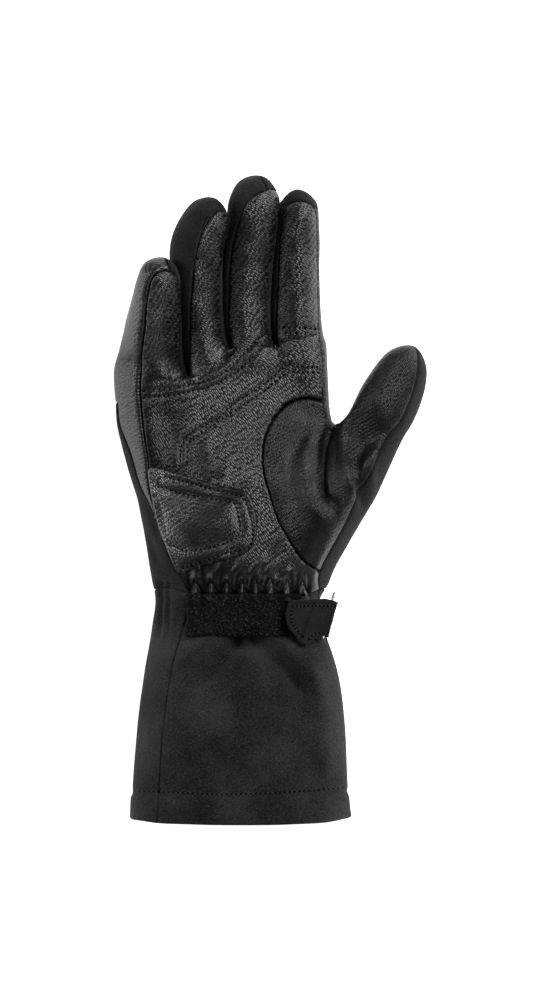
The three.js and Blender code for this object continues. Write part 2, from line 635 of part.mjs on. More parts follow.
// Turns a solid drawn flat in x,z round the ring's leg into its place at the wrist
function placeFastener(geometry) {
  geometry.rotateX(THREE.MathUtils.degToRad(FASTENER.tiltDegrees));
  geometry.rotateZ(THREE.MathUtils.degToRad(FASTENER.leanDegrees));
  geometry.translate(FASTENER.x, FASTENER.y, FASTENER.z);
  return geometry;
}

// A strip of the given width along y, from its section in x,z
function strip(shape, width) {
  const geometry = new THREE.ExtrudeGeometry(shape, { depth: width, bevelEnabled: false, curveSegments: 6 });
  geometry.rotateX(Math.PI / 2);
  geometry.translate(0, width / 2, 0);
  return geometry;
}

function tabSection() {
  const foldRadius = legHole + TAB_THICK;
  const shape = new THREE.Shape();
  shape.moveTo(-26, 7.7);
  [[-20.5, 7.2], [-14.5, 5.8], [-8.5, 3.9], [-5.5, 2.7]].forEach(([x, z]) => shape.lineTo(x, z));
  shape.lineTo(-4.5, -0.3);
  shape.lineTo(-1.2, -foldRadius + 0.3);
  shape.absarc(0, 0, foldRadius, -Math.PI / 2, Math.PI / 2, false);
  [[-3.5, 3.9], [-8.5, 5.7], [-14.5, 7.6], [-20.5, 9], [-26, 9.5]].forEach(([x, z]) => shape.lineTo(x, z));
  shape.holes.push(new THREE.Path().absarc(0, 0, legHole, 0, Math.PI * 2, true));
  return shape;
}
const tabStrip = toSolid(placeFastener(strip(tabSection(), 40)));
addPiece('wrist_tab', tabStrip.intersect(block(TAB_OUTLINE, 20, 70)), 'softshell');

// The ring is a wire loop: two straight legs joined by short ends with round corners
function ringCurve() {
  const at = (w, y) => new THREE.Vector3(w * RING.reachX, y + RING.rise, w * RING.reachZ);
  const turn = RING.corner / Math.hypot(RING.reachX, RING.reachZ);
  const end = RING.halfLength + RING.corner;
  const curve = new THREE.CurvePath();
  const corners = [
    [at(0, -RING.halfLength), at(0, RING.halfLength), at(0, end), at(turn, end)],
    [at(turn, end), at(1 - turn, end), at(1, end), at(1, RING.halfLength)],
    [at(1, RING.halfLength), at(1, -RING.halfLength), at(1, -end), at(1 - turn, -end)],
    [at(1 - turn, -end), at(turn, -end), at(0, -end), at(0, -RING.halfLength)],
  ];
  corners.forEach(([from, to, corner, next]) => {
    curve.add(new THREE.LineCurve3(from, to));
    curve.add(new THREE.QuadraticBezierCurve3(to, corner, next));
  });
  return curve;
}
const ringTube = new THREE.TubeGeometry(ringCurve(), RING.steps, RING_WIRE / 2, RING_SIDES, true);
addPiece('wire_ring', toSolid(placeFastener(ringTube)), 'steel');

// The holder is a webbing loop round the ring's lower leg, laid down the wrist's side
const HOLDER = { width: 11, thick: 1.6, low: 9, high: 37.2 };
const loopRadius = legHole + HOLDER.thick;
const loopShape = new THREE.Shape().absarc(RING.reachX, RING.reachZ, loopRadius, 0, Math.PI * 2, false);
const loopEye = new THREE.Shape().absarc(RING.reachX, RING.reachZ, legHole, 0, Math.PI * 2, false);
const onThumbSide = (v) => {
  const [p, n] = [skin.points[v], skin.normals[v]];
  return n.x > 0.1 && p.x > 5 && p.y < -34 && p.y > -90;
};
const sideFaces = skin.faces.filter(({ corners, panel: name }) => (
  ['cuff_front', 'cuff_back', 'palm_leather', 'thumb_back'].includes(name) && corners.every(onThumbSide)
));
const sideSlab = toSolid(wallSolid(skin, sideFaces, () => SKIN_GAP + HOLDER.thick, () => SKIN_GAP, 0));
const sideWindow = new THREE.BoxGeometry(60, HOLDER.width, HOLDER.high - HOLDER.low);
sideWindow.translate(30, FASTENER.y + RING.rise, (HOLDER.high + HOLDER.low) / 2);
const holderLoop = toSolid(placeFastener(strip(loopShape, HOLDER.width - 1)));
const holderEye = toSolid(placeFastener(strip(loopEye, 40)));
const holderStrip = sideSlab.intersect(toSolid(sideWindow));
addPiece('ring_holder', holderStrip.add(holderLoop).subtract(holderEye), 'softshell');

export default glove;
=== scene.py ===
# %% [markdown]
# A long-cuff winter motorcycle glove for the right hand, lying on its back, palm up.
# The real glove is sewn from flat panels: pebbled goat leather on the palm and the
# fingers' fronts, soft woven cloth on the back, between the fingers and on the cuff.
# A sewn glove is one smooth hand shape first and a set of panels second. So this
# lesson builds the hand once as a smooth skin, presses the folds into it, and then
# cuts it along the seams. Every panel so gets its neighbours' exact edge, as cloth has.

# %% Load the frame
import json
import math

import bpy
import numpy as np
from mathutils import Matrix, Vector, noise
from mathutils.bvhtree import BVHTree
from mathutils.kdtree import KDTree

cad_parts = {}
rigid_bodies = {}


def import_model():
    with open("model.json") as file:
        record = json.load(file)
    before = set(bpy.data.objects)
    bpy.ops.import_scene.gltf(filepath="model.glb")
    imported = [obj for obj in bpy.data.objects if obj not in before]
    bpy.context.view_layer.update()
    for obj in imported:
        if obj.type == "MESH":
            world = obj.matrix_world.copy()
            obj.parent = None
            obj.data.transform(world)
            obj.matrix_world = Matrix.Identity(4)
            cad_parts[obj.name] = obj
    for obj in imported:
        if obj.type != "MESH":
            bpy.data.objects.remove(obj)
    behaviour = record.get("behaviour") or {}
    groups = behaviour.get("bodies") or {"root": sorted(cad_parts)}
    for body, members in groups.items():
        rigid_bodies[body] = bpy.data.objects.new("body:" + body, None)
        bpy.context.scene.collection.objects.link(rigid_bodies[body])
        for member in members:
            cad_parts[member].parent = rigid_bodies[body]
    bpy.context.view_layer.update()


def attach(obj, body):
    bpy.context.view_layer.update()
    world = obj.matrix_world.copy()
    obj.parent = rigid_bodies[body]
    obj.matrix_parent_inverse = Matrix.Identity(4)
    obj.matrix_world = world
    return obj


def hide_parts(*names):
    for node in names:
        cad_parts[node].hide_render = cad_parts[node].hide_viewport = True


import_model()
MM = 0.001
SEED = 7
rng = np.random.default_rng(SEED)

# %% [markdown]
# The hand's skin starts as a cage, a coarse net of four-sided faces. Modelling it by
# hand would mean some five hundred points. The cage has a plain order instead, rings
# round the body and rings round each finger, so short tables of sections are enough.
# They are the sizes of the frame's own solids, in millimetres.

# %% Tables of the body's rings
def table(text):
    """Reads a text table: the first line names the columns, the first word of a line its row."""
    head, *lines = [line.split() for line in text.strip().splitlines()]

    def cell(word):
        if word == "-":
            return None
        numbers = [float(w) for w in word.split(",")]
        return numbers if len(numbers) > 1 else numbers[0]

    return {name: dict(zip(head[1:], map(cell, cells))) for name, *cells in lines}


BODY_FRONT = table("""
  row     S                F0               F4              F8             T1              T2
  hem     -66,-160,44      -56.5,-161,54    -13.5,-162,60   26,-160.8,56.5 32.5,-160,51    38,-159,42
  stitch  -65,-145.5,45    -55.5,-145.5,54  -13.5,-146.5,60 25.5,-144.7,56 31.5,-144,50.5  36.5,-143.7,42
  flare   -59,-95,41       -51.5,-95,49     -13.5,-95,55.5  22.5,-95,51.5  28.5,-95,46     33.3,-95,38
  strap   -50.5,-58.5,35.5 -41.5,-58.5,42   -12.5,-58.5,47  14,-58.5,44    18.5,-58.5,40.5 22.8,-58.5,35
  wrist   -50,-44,35       -40,-47,41       -11.5,-47,46    15,-47.5,43.5  19,-47,40.5     22.5,-46,37
  heel    -54.5,-29,33     -48.5,-30.5,38.5 -16,-30,46.5    15,-31.5,47    19,-34.5,45.5   22.5,-36.5,42.5
  palm    -58.9,-7.5,31.8  -56,-10,35.5     -20.5,-8,44     15,-16.5,50    21,-20.5,50.5   27.5,-22.5,48.5
  mid     -65.3,8,28.5     -59.8,8,35       -22,7,42        16,-2.5,50.5   23.5,-7,53.5    31.5,-9.5,53.5
  thenar  -70,24,26        -61.5,22,35      -21.5,21,40     19,11,48.5     27,5.5,53       36.5,3,55.5
  gusset  -75.3,37.5,22    -63.5,35,34.5    -20,34,38       24,24,43       33,18.5,49.5    43,16.5,54.5
  crotch  -76.3,48,23      -64.8,48.5,34    -17.5,47,37.5   30.5,36.5,35   40,31.5,43.5    50,28.5,51
  knuckle -77,59,24        -65,58.5,34      -20,61,37       27,55,34       -               -
""")
BODY_BACK = table("""
  row     T3             T4             T5           B8           B4              B1             B0
  hem     40.5,-158.5,30 38.5,-158.5,15 34,-158.5,5  26,-158.5,0  -13.5,-159,-1   -60,-159,2     -69.5,-159.5,24
  stitch  39,-143.3,30   37,-143,15     32.5,-143,5  25.5,-143,0  -13.5,-144,-1   -59.5,-144.5,2 -68.8,-144.5,24
  flare   35.5,-94.5,27  33.5,-94.5,14  28.5,-94.5,5 21.5,-95,0.5 -13.5,-95,-1    -56.5,-95,2    -64.2,-95,22
  strap   25.3,-58.5,26  24,-58.5,15.5  20,-58.5,8   13.5,-58.5,4 -13.5,-58.5,2.5 -51,-58.5,5.5  -58,-57.5,21
  wrist   24.8,-45,33    27.8,-44.5,23  25,-44,11    16.5,-44,4   -13.5,-44,1.5   -51,-44,5      -58.2,-45,20.5
  heel    25,-36,38      31.5,-36,23.5  27.5,-31,10  17,-28,2     -16,-25,-1      -53,-29,3      -60.5,-33,19.5
  palm    33,-20.5,44.5  38.8,-22.5,29  33,-16,13    19,-12,2     -19,-5,-1       -58,-5,3       -64.8,-7,18.5
  mid     40,-6.5,50     46.5,-9.5,34   40,-2,16     23,2,2       -20,11,-1       -61,10,3       -68.8,8,17
  thenar  46.5,6.5,53.5  53.8,3.5,38    47,11,19.5   26.5,15,4    -21,26,-1       -63.5,25,3     -72.9,23,15.5
  gusset  53,20.5,55     60.5,18,42     54,25,23.5   30,27,9      -22,40,-1       -65.5,38,3     -75,36,12
  crotch  59.4,33,53     67,31.5,42     60,37.5,26   32.5,38,14   -22,52.5,-1     -66.5,50,3     -75.5,50,13
  knuckle -              -              -            23,62,5      -21,64,-1       -67,60,5       -76.3,60,14
""")
print("rings of the body:", len(BODY_FRONT))

# %% [markdown]
# A finger is a tube that bends and turns as it goes up. So its table has one line for
# each station: where its middle is, how wide and deep it is there, and how far it has
# rolled over. The fingers stand on a base of nine places across the knuckles.

# %% Tables of the fingers
CROTCH_POINT = (33.8, 35.5, 25)
KNUCKLE_SIDE = (28.5, 56, 20)
BASE = table("""
  place front         back        middle
  0     -64.5,68,34.5 -75.5,67,17 -74.5,69,27
  1     -53,62,37     -54,60,4    -
  2     -41,60.5,31   -42,59,4    -41,61,18
  3     -30,66,37     -31,65,0.5  -
  4     -19.5,73,34   -20.5,69,2  -19.5,72,17
  5     -8,74.5,37.5  -9,72,0     -
  6     3.8,76.8,34   3,73.5,2    3.8,75.5,16.5
  7     14.5,79.5,37  14,76,0.5   -
  8     25.8,80,32.5  22.5,75,5   27.8,76,19
""")
DIGITS = table("""
  station   x     y     z    width depth roll
  little_1  -59.1 79    27   29.5  29.5  34
  little_2  -57.1 96.5  37   26    28    35
  little_3  -55   113.5 48.5 19.5  19.5  38
  little_t  -53.3 119.5 52   0     0     0
  ring_1    -33.3 81    21.7 22    30.5  14
  ring_2    -35.5 97.5  26.5 22    28.5  26
  ring_3    -37.3 121.5 37   26    27    44
  ring_4    -33.5 137   44.5 24    25    54
  ring_5    -29.5 144.5 48.5 19    19    56
  ring_t    -27   150.3 51   0     0     0
  middle_1  -10.8 83.5  20   21.5  31    0
  middle_2  -12.3 107.5 25.5 23    28.5  6
  middle_3  -10   130   32.5 24.5  27    16
  middle_4  -8    147   39.5 26    26    34
  middle_5  -5.8  155   43.5 21    20    38
  middle_t  -3    161.2 46.5 0     0     0
  index_1   13.5  88.5  19   24.5  30    6
  index_2   13.6  123   27.5 22.5  27    9
  index_3   13.8  142.5 34   21    25    9
  index_4   14    149   37   17    19    8
  index_t   13.5  155   39.5 0     0     0
  thumb_1   57.2  45.2  40   31    33    0
  thumb_2   63.5  58    42.5 28.5  29    0
  thumb_3   68.6  70    46   20.5  21    0
  thumb_t   71.5  76.8  48   0     0     0
""")
print("places on the base:", len(BASE), "stations of the digits:", len(DIGITS))

# %% [markdown]
# Each ring of the body has the same columns: S on the little-finger side, F0 to F8
# across the palm, T1 to T5 round the thumb side and B8 to B0 behind. The tables give
# only some of these points. The others lie on parabolas through them, which is how a
# padded palm bulges between its seams.

# %% Rings of the body
PALM = [f"F{i}" for i in range(9)]
THUMB = [f"T{i}" for i in range(1, 6)]
BACK = [f"B{i}" for i in range(8, -1, -1)]
BODY_RING = ["S", *PALM, *THUMB, *BACK]
HAND_RING = ["S", *PALM, "C", *BACK]
THUMB_RING = ["C", "F8", *THUMB, "B8"]
THUMB_FRONT = ("F8", "T1", "T2")
FINGERS = ("little", "ring", "middle", "index")
DIGIT_NAMES = (*FINGERS, "thumb")
FINGER_ANGLES = (-90, -52, 0, 52, 90, 128, 180, 232)
THUMB_ANGLES = (-95, -60, -28, 5, 38, 90, 150, 215)
WALLS = (
    "outer_side_panel", "wall_little_ring", "wall_ring_middle", "wall_middle_index",
    "index_side_panel",
)
CUFF_ROWS = ("hem", "stitch", "flare", "strap")
SIDE_ROWS = ("palm", "mid", "thenar", "gusset")
PANELS = [
    *WALLS, "palm_leather", "thumb_gusset", "back_panel", "thumb_back", "cuff_front", "cuff_back",
]

points, faces, face_panels, face_digits = [], [], [], []


def add_point(place):
    points.append(np.array(place, float))
    return len(points) - 1


def along_parabola(three, middle, u):
    """The point at u of the parabola through three points that stand at u = 0, middle and 1."""
    a, b, c = (np.array(p) for p in three)
    return (
        a * (u - middle) * (u - 1) / middle
        + b * u * (u - 1) / (middle * (middle - 1))
        + c * u * (u - middle) / (1 - middle)
    )


def body_ring(name):
    row = {**BODY_FRONT[name], **BODY_BACK[name]}
    ring = {"S": add_point(row["S"]), "B0": add_point(row["B0"])}
    for i, column in enumerate(PALM):
        ring[column] = add_point(along_parabola((row["F0"], row["F4"], row["F8"]), 0.5, i / 8))
    for i, column in enumerate(BACK[:8]):
        ring[column] = add_point(along_parabola((row["B8"], row["B4"], row["B1"]), 4 / 7, i / 7))
    for column in THUMB:
        if row[column]:
            ring[column] = add_point(row[column])
    return ring


rings = {name: body_ring(name) for name in BODY_FRONT}
rings["crotch"]["C"] = add_point(CROTCH_POINT)
rings["knuckle"]["C"] = add_point(KNUCKLE_SIDE)
print("points on the body's rings:", len(points))

# %% [markdown]
# Faces join each ring to the next. Every face knows from the start which panel of the
# glove it belongs to, because the seams run along the cage's own lines for most of
# their way. That saves cutting the skin apart with a knife later.

# %% Join the rings
def add_face(corners, panel, digit=-1):
    faces.append(corners)
    face_panels.append(PANELS.index(panel))
    face_digits.append(digit)


def body_panel(row, column):
    """Which panel holds the face that starts at this row and column."""
    front = column in PALM[:8] or column in THUMB_FRONT
    if row in CUFF_ROWS:
        return "cuff_front" if front else "cuff_back"
    if row in ("crotch", "knuckle"):
        if column in PALM[:8]:
            return "palm_leather"
        if column in ("F8", "C"):
            return "index_side_panel"
        return "outer_side_panel" if column in ("S", "B0") else "back_panel"
    if front:
        return "palm_leather"
    if column in THUMB:
        return "thumb_back"
    return "outer_side_panel" if column == "S" and row in SIDE_ROWS else "back_panel"


def join_rings(lower, upper, names, row):
    for i, a in enumerate(names):
        b = names[(i + 1) % len(names)]
        add_face((lower[a], lower[b], upper[b], upper[a]), body_panel(row, a))


names = list(rings)
for lower, upper in zip(names, names[1:]):
    join_rings(rings[lower], rings[upper], HAND_RING if upper == "knuckle" else BODY_RING, lower)
print("faces of the body:", len(faces))

# %% [markdown]
# Each finger starts from eight points of the base and grows ring by ring, like an
# extruded tube, to a tip that four faces close. The thumb grows in the same way from
# the gap that the body leaves at its side.

# %% Grow the fingers and the thumb
def unit(v):
    return v / np.linalg.norm(v)


def grow_digit(digit, first, angles, panels, tip_panels):
    """Rings of eight points from the first ring to the tip, which four faces close."""
    stations = [row for name, row in DIGITS.items() if name.startswith(digit + "_")]
    centres = [np.array([s["x"], s["y"], s["z"]]) for s in stations]
    before = [2 * centres[0] - centres[1], *centres]
    lower = first
    for i, station in enumerate(stations[:-1]):
        along = unit(centres[i + 1] - before[i])
        outward = unit(np.array([along[1], -along[0], 0]))
        front = np.cross(outward, along)
        upper = []
        for angle in angles:
            turn = math.radians(angle + station["roll"])
            across = math.sin(turn) * station["width"] / 2 * outward
            up = math.cos(turn) * station["depth"] / 2 * front
            upper.append(add_point(centres[i] + across + up))
        for a in range(8):
            b = (a + 1) % 8
            add_face((lower[a], lower[b], upper[b], upper[a]), panels[a], DIGIT_NAMES.index(digit))
        lower = upper
    tip = add_point(centres[-1])
    for a, panel in zip((0, 2, 4, 6), tip_panels):
        add_face((lower[a], lower[a + 1], lower[(a + 2) % 8], tip), panel, DIGIT_NAMES.index(digit))


base = {}
for i in range(9):
    base[f"F{i}"] = add_point(BASE[str(i)]["front"])
    base[f"B{i}"] = add_point(BASE[str(i)]["back"])
between = [add_point(BASE[str(i)]["middle"]) for i in (0, 2, 4, 6, 8)]
base["S"], base["C"] = between[0], between[4]
join_rings(rings["knuckle"], base, HAND_RING, "knuckle")
for k, finger in enumerate(FINGERS):
    front = [base[f"F{2 * k + i}"] for i in range(3)]
    behind = [base[f"B{2 * k + i}"] for i in (2, 1, 0)]
    near, far = WALLS[k], WALLS[k + 1]
    grow_digit(
        finger, [between[k], *front, between[k + 1], *behind], FINGER_ANGLES,
        [near, "palm_leather", "palm_leather", far, far, "back_panel", "back_panel", near],
        [near, near, "back_panel", "back_panel"],
    )
grow_digit(
    "thumb", [rings["crotch"][c] for c in THUMB_RING], THUMB_ANGLES,
    ["palm_leather"] * 4 + ["thumb_back"] * 4,
    ["palm_leather", "palm_leather", "thumb_back", "thumb_back"],
)
print("cage:", len(points), "points,", len(faces), "faces")

# %% [markdown]
# A Subdivision Surface modifier turns the cage into a smooth skin, but it shrinks
# away from the cage's points. The tables are real places on the glove, so the cage is
# pushed outward until the smooth surface, and not the cage, passes through them.

# %% Fit the cage
FIT_STEPS = 8


def limit_weights(count, quads):
    """The matrix that takes cage points to where they end up on the smooth surface."""
    edge = np.zeros((count, count))
    opposite = np.zeros((count, count))
    for quad in quads:
        for i in range(4):
            v, w, o = quad[i], quad[(i + 1) % 4], quad[(i + 2) % 4]
            edge[v, w] += 1
            edge[w, v] += 1
            opposite[v, o] += 1
    weights = np.zeros((count, count))
    for v in range(count):
        border = np.flatnonzero(edge[v] == 1)
        if len(border) == 2:
            weights[v, v] = 4 / 6
            weights[v, border] = 1 / 6
        else:
            n = np.count_nonzero(edge[v])
            weights[v] = opposite[v] + 4 * (edge[v] > 0)
            weights[v, v] = n * n
            weights[v] /= n * (n + 5)
    return weights


targets = np.array(points)
weights = limit_weights(len(points), faces)
fitted = targets.copy()
for _ in range(FIT_STEPS):
    fitted += targets - weights @ fitted
print(
    "cage fits its tables within", round(float(np.abs(targets - weights @ fitted).max()), 2), "mm",
)

# %% [markdown]
# The fitted cage becomes a mesh, and four levels of subdivision make it fine enough for
# folds and welts. Each face's panel and finger go along as attributes, because the
# modifier hands them on to the small faces. The result is read back as plain arrays:
# tens of thousands of points are quicker to shape there than one by one.

# %% Subdivide the cage
SKIN_LEVELS = 4
bpy.ops.object.select_all(action="DESELECT")
mesh = bpy.data.meshes.new("glove_skin")
mesh.from_pydata((fitted * MM).tolist(), [], faces)
mesh.attributes.new("panel", "INT", "FACE").data.foreach_set("value", face_panels)
mesh.attributes.new("digit", "INT", "FACE").data.foreach_set("value", face_digits)
skin_object = bpy.data.objects.new("glove_skin", mesh)
bpy.context.collection.objects.link(skin_object)
bpy.context.view_layer.objects.active = skin_object
skin_object.select_set(True)
smooth = skin_object.modifiers.new("smooth", "SUBSURF")
smooth.levels = smooth.render_levels = SKIN_LEVELS
smooth.boundary_smooth = "ALL"
bpy.ops.object.modifier_apply(modifier=smooth.name)

mesh = skin_object.data
skin = np.empty(len(mesh.vertices) * 3)
mesh.vertices.foreach_get("co", skin)
skin = skin.reshape(-1, 3) / MM
quads = np.empty(len(mesh.loops), int)
mesh.loops.foreach_get("vertex_index", quads)
quads = quads.reshape(-1, 4)
panel_of = np.empty(len(quads), int)
mesh.attributes["panel"].data.foreach_get("value", panel_of)
digit_of = np.empty(len(quads), int)
mesh.attributes["digit"].data.foreach_get("value", digit_of)
bpy.data.objects.remove(skin_object)
print("skin:", len(skin), "points,", len(quads), "faces")

# %% [markdown]
# Where two fingers part, many faces of the cage meet, and the smooth skin keeps a knot
# there that real leather would not. The points near such a place are moved towards the
# middle of their neighbours again and again, as the Smooth Vertices operator does, but
# with a strength that fades out with the distance.

# %% Ease the knots between the fingers
def smoothstep(x, low, high):
    t = np.clip((x - low) / (high - low), 0, 1)
    return t * t * (3 - 2 * t)


def point_normals(co, four):
    a, b, c, d = (co[four[:, i]] for i in range(4))
    turned = np.cross(c - a, d - b)
    normals = np.zeros_like(co)
    for i in range(4):
        np.add.at(normals, four[:, i], turned)
    return normals / np.maximum(np.linalg.norm(normals, axis=1, keepdims=True), 1e-12)


KNOTS = [(-45, 61.5, 36), (-33, 64, 37), (-39, 60, 30)]
KNOT_REACH, KNOT_ROUNDS, KNOT_SHARE = 7.0, 60, 0.6
pairs = np.vstack([quads[:, [i, (i + 1) % 4]] for i in range(4)])
uses = np.bincount(pairs.ravel(), minlength=len(skin))[:, None]
knot_d = np.min([np.linalg.norm(skin - knot, axis=1) for knot in KNOTS], axis=0)
ease = KNOT_SHARE * (1 - smoothstep(knot_d, KNOT_REACH * 0.4, KNOT_REACH))[:, None]
for _ in range(KNOT_ROUNDS):
    total = np.zeros_like(skin)
    np.add.at(total, pairs[:, 0], skin[pairs[:, 1]])
    np.add.at(total, pairs[:, 1], skin[pairs[:, 0]])
    skin += ease * (total / uses - skin)
normals = point_normals(skin, quads)
print("knots:", len(KNOTS), "points eased:", int((ease > 0).sum()))

# %% [markdown]
# Folds, creases and gathers are what make a soft thing look soft. On the real glove
# they come from the sewing and from wear, and they lie where the hand bends. Each is
# a line on the palm, seen from above, that sinks or lifts the skin along its normal.
# Sculpting brushes would do the same by hand; named lines can be checked and changed.

# %% Lines of the folds
# name, points in x,y, width, lift in millimetres (a fold that sinks is negative)
FOLDS = [
    ("thumb crease", [(32, 39), (28, 30), (26, 19), (25.5, 10), (27, 3), (31.5, -3.5)], 2.2, -5.0),
    ("ball of the thumb", [(21, 34), (17.5, 22), (17.5, 8), (21, -2), (29, -12)], 3.6, 2.6),
    ("gusset valley", [(16, 31), (11.5, 22), (10.5, 12), (13, 1)], 3.2, -1.4),
    ("thumb root", [(37.5, 38), (36.3, 26), (38, 15), (41.5, 4)], 2.6, 3.0),
    ("outer thumb crease", [(46.5, 30), (43.5, 20), (44, 8), (47, -4)], 2.3, -2.2),
    ("far thumb ridge", [(51, 25), (50, 14), (51, 4)], 2.6, 1.3),
    ("small gusset fold", [(30, -4), (34, -9)], 1.6, -0.8),
    ("thumb tip", [(66, 68), (70, 60), (64, 48)], 4.5, 0.5),
    ("finger base crease", [(-38, 60.2), (-31, 63.5), (-24, 70)], 1.9, -1.5),
    ("finger base pad", [(-40, 56.5), (-31, 59.5), (-21, 66)], 2.8, 0.7),
    ("little joint", [(-64, 96), (-46, 95)], 5.0, -0.4),
    ("ring joint", [(-40, 104), (-24, 106)], 5.0, -0.5),
    ("middle joint", [(-20, 105), (3, 103)], 5.5, -0.4),
    ("middle root", [(-20, 90), (2, 93)], 5.5, 0.3),
    ("index joint", [(2, 101), (26, 102)], 5.5, -0.4),
    ("index root", [(3, 92), (26, 93)], 5.5, 0.3),
    ("palm hollow", [(-58, 48), (-50, 36), (-52, 24)], 8.0, -1.2),
    ("palm middle", [(-33, 38), (-24, 28), (-16, 15)], 10.0, 1.3),
    ("palm lower hollow", [(-4, 2), (2, -16), (-6, -30)], 6.0, -1.2),
    ("left cuff fold", [(-17, -67), (-21, -75), (-28, -84), (-36, -92)], 3.8, -5.0),
    ("left cuff ridge", [(-26, -68), (-34, -74), (-44, -80)], 4.4, 2.8),
    ("right cuff fold", [(-7, -67), (-1, -75), (8, -83), (18, -96)], 4.2, -6.0),
    ("right cuff ridge", [(5, -70), (14, -80), (24, -96)], 4.6, 3.2),
    ("cuff recess", [(-20, -68), (-13, -71), (-5, -68)], 4.5, -6.0),
    ("cuff bulge", [(-14, -82), (-14, -104)], 8.0, 1.6),
    ("long cuff dip", [(14, -92), (19, -112), (22, -140)], 8.0, -1.6),
    ("left cuff dip", [(-49, -85), (-50, -115)], 7.0, -0.8),
    ("wrist groove near", [(-55, -41), (-55.5, -68)], 1.2, -2.2),
    ("wrist groove far", [(-51.3, -42), (-51.6, -68)], 1.2, -2.0),
    ("wrist side fold", [(-58, -41.5), (-43, -42)], 1.5, -1.6),
    ("back fold", [(-63, 1), (-58, -10), (-52, -23)], 1.8, -0.9),
    ("lower back fold", [(-62, -18), (-55, -33)], 2.0, -0.9),
    ("gather fold a", [(-29, -42), (-25, -34), (-20, -27)], 1.7, 1.1),
    ("gather fold b", [(-21.5, -42), (-16, -33), (-12, -27)], 1.6, 1.3),
    ("gather fold c", [(-14, -42), (-8, -34), (-3, -28)], 1.6, 1.3),
    ("gather fold d", [(-7, -42), (-1, -35), (5, -30)], 1.6, 1.2),
    ("gather fold e", [(1, -42), (7, -37), (12, -34)], 1.6, 1.0),
    ("gather fold f", [(-37, -42), (-36, -36)], 1.8, 0.7),
]
print("folds:", len(FOLDS))

# %% [markdown]
# A fold is deep along its line, fades out beside it as a bell curve does, and runs out
# at both ends. Only the skin that faces the viewer takes part, or the fold would come
# out again on the back of the glove. All the lifts are added up first and the skin is
# moved once, so that the folds don't disturb one another.

# %% Press the folds in
def spline(line, step=0.5, closed=False):
    """A smooth curve through the points of a line, as points about one step apart."""
    p = np.array(line, float)
    if closed:
        p = np.vstack([p[-1], p, p[0], p[1]])
    else:
        p = np.vstack([2 * p[0] - p[1], p, 2 * p[-1] - p[-2]])
    out = []
    for a, b, c, d in zip(p, p[1:], p[2:], p[3:]):
        for t in np.linspace(0, 1, max(2, int(np.linalg.norm(c - b) / step)), endpoint=False):
            out.append(0.5 * (
                2 * b + (c - a) * t + (2 * a - 5 * b + 4 * c - d) * t**2
                + (3 * b - a - 3 * c + d) * t**3
            ))
    if not closed:
        out.append(p[-2])
    return np.array(out)


def along_line(xy, line):
    """Distance of each point from a line in x,y, how far along it, and the line's length."""
    line = np.array(line, float)
    best = np.full(len(xy), 1e9)
    arc = np.zeros(len(xy))
    start = 0.0
    for a, b in zip(line, line[1:]):
        run = b - a
        length = max(np.linalg.norm(run), 1e-9)
        t = np.clip((xy - a) @ run / length**2, 0, 1)
        away = xy - a - t[:, None] * run
        d = np.hypot(away[:, 0], away[:, 1])
        near = d < best
        best[near] = d[near]
        arc[near] = start + t[near] * length
        start += length
    return best, arc, start


front_facing = smoothstep(normals[:, 2], 0.2, 0.55)
lift = np.zeros(len(skin))
for name, line, width, height in FOLDS:
    curve = spline(line)
    d, arc, length = along_line(skin[:, :2], curve)
    ends = smoothstep(arc, -0.15 * length, 0.25 * length)
    ends *= smoothstep(length - arc, -0.15 * length, 0.25 * length)
    lift += height * ends * np.exp(-((d / width) ** 2)) * front_facing
print("folds lift from", round(lift.min(), 1), "to", round(lift.max(), 1), "mm")

# %% [markdown]
# At the wrist an elastic is sewn in, and the leather above it gathers into a row of
# small tents, wide at the elastic and pointed above. A wave would look like a curtain.
# So each tent is a pyramid with a groove round it, and only its top runs on as a soft
# swell into the palm. The elastic shortens unevenly, so each tent has its own place.

# %% Gather the wrist
GATHER_TOPS = (-45, -37.2, -29.2, -21.5, -13.8, -7.1, 0.6, 8.7, 16.4, 24)
GATHER = {
    "top": -41.3, "band": -48.5, "fade": -30.0, "height": 3.0, "groove": 1.5, "between": 1.3,
    "tail": 0.5,
}
GATHER_SIDES = {"from": -42, "full_from": -40, "full_to": 18.5, "to": 21}
x, y = skin[:, 0], skin[:, 1]
on_front = np.zeros(len(skin), bool)
front_panels = [PANELS.index("palm_leather"), PANELS.index("cuff_front")]
on_front[quads[np.isin(panel_of, front_panels)]] = True
place = np.interp(x, GATHER_TOPS, range(len(GATHER_TOPS)))
off_centre = 2 * np.abs(place - np.round(place))
below_top = np.clip((GATHER["top"] - y) / (GATHER["top"] - GATHER["band"]), -0.6, 1.1)
in_tent = below_top - off_centre
gather = GATHER["height"] * np.clip(in_tent, 0, 1)
gather -= GATHER["groove"] * np.exp(-(((in_tent + 0.06) / 0.17) ** 2))
gather -= GATHER["between"] * smoothstep(-in_tent, 0, 0.8) * smoothstep(below_top, -0.3, 0.6)
gather += (
    GATHER["tail"] * np.cos(np.pi * np.clip(off_centre, 0, 1))
    * smoothstep(-y, -GATHER["fade"], -GATHER["top"])
)
gathered = on_front & (y > GATHER["band"] - 1.5)
sides = smoothstep(x, GATHER_SIDES["from"], GATHER_SIDES["full_from"])
sides *= smoothstep(-x, -GATHER_SIDES["to"], -GATHER_SIDES["full_to"])
lift += np.where(gathered, gather, 0) * front_facing * sides
print("gathers:", len(GATHER_TOPS), "lift up to", round(gather[gathered].max(), 1), "mm")

# %% [markdown]
# Leather that is stitched down sinks along each row and puffs up beside it. The rows
# are named once here. They dent the skin now, and the threads are laid on them later.

# %% Rows of stitches
PIXELS_PER_MM = 2.0
PHOTO_CENTRE = (270.0, 500.0)


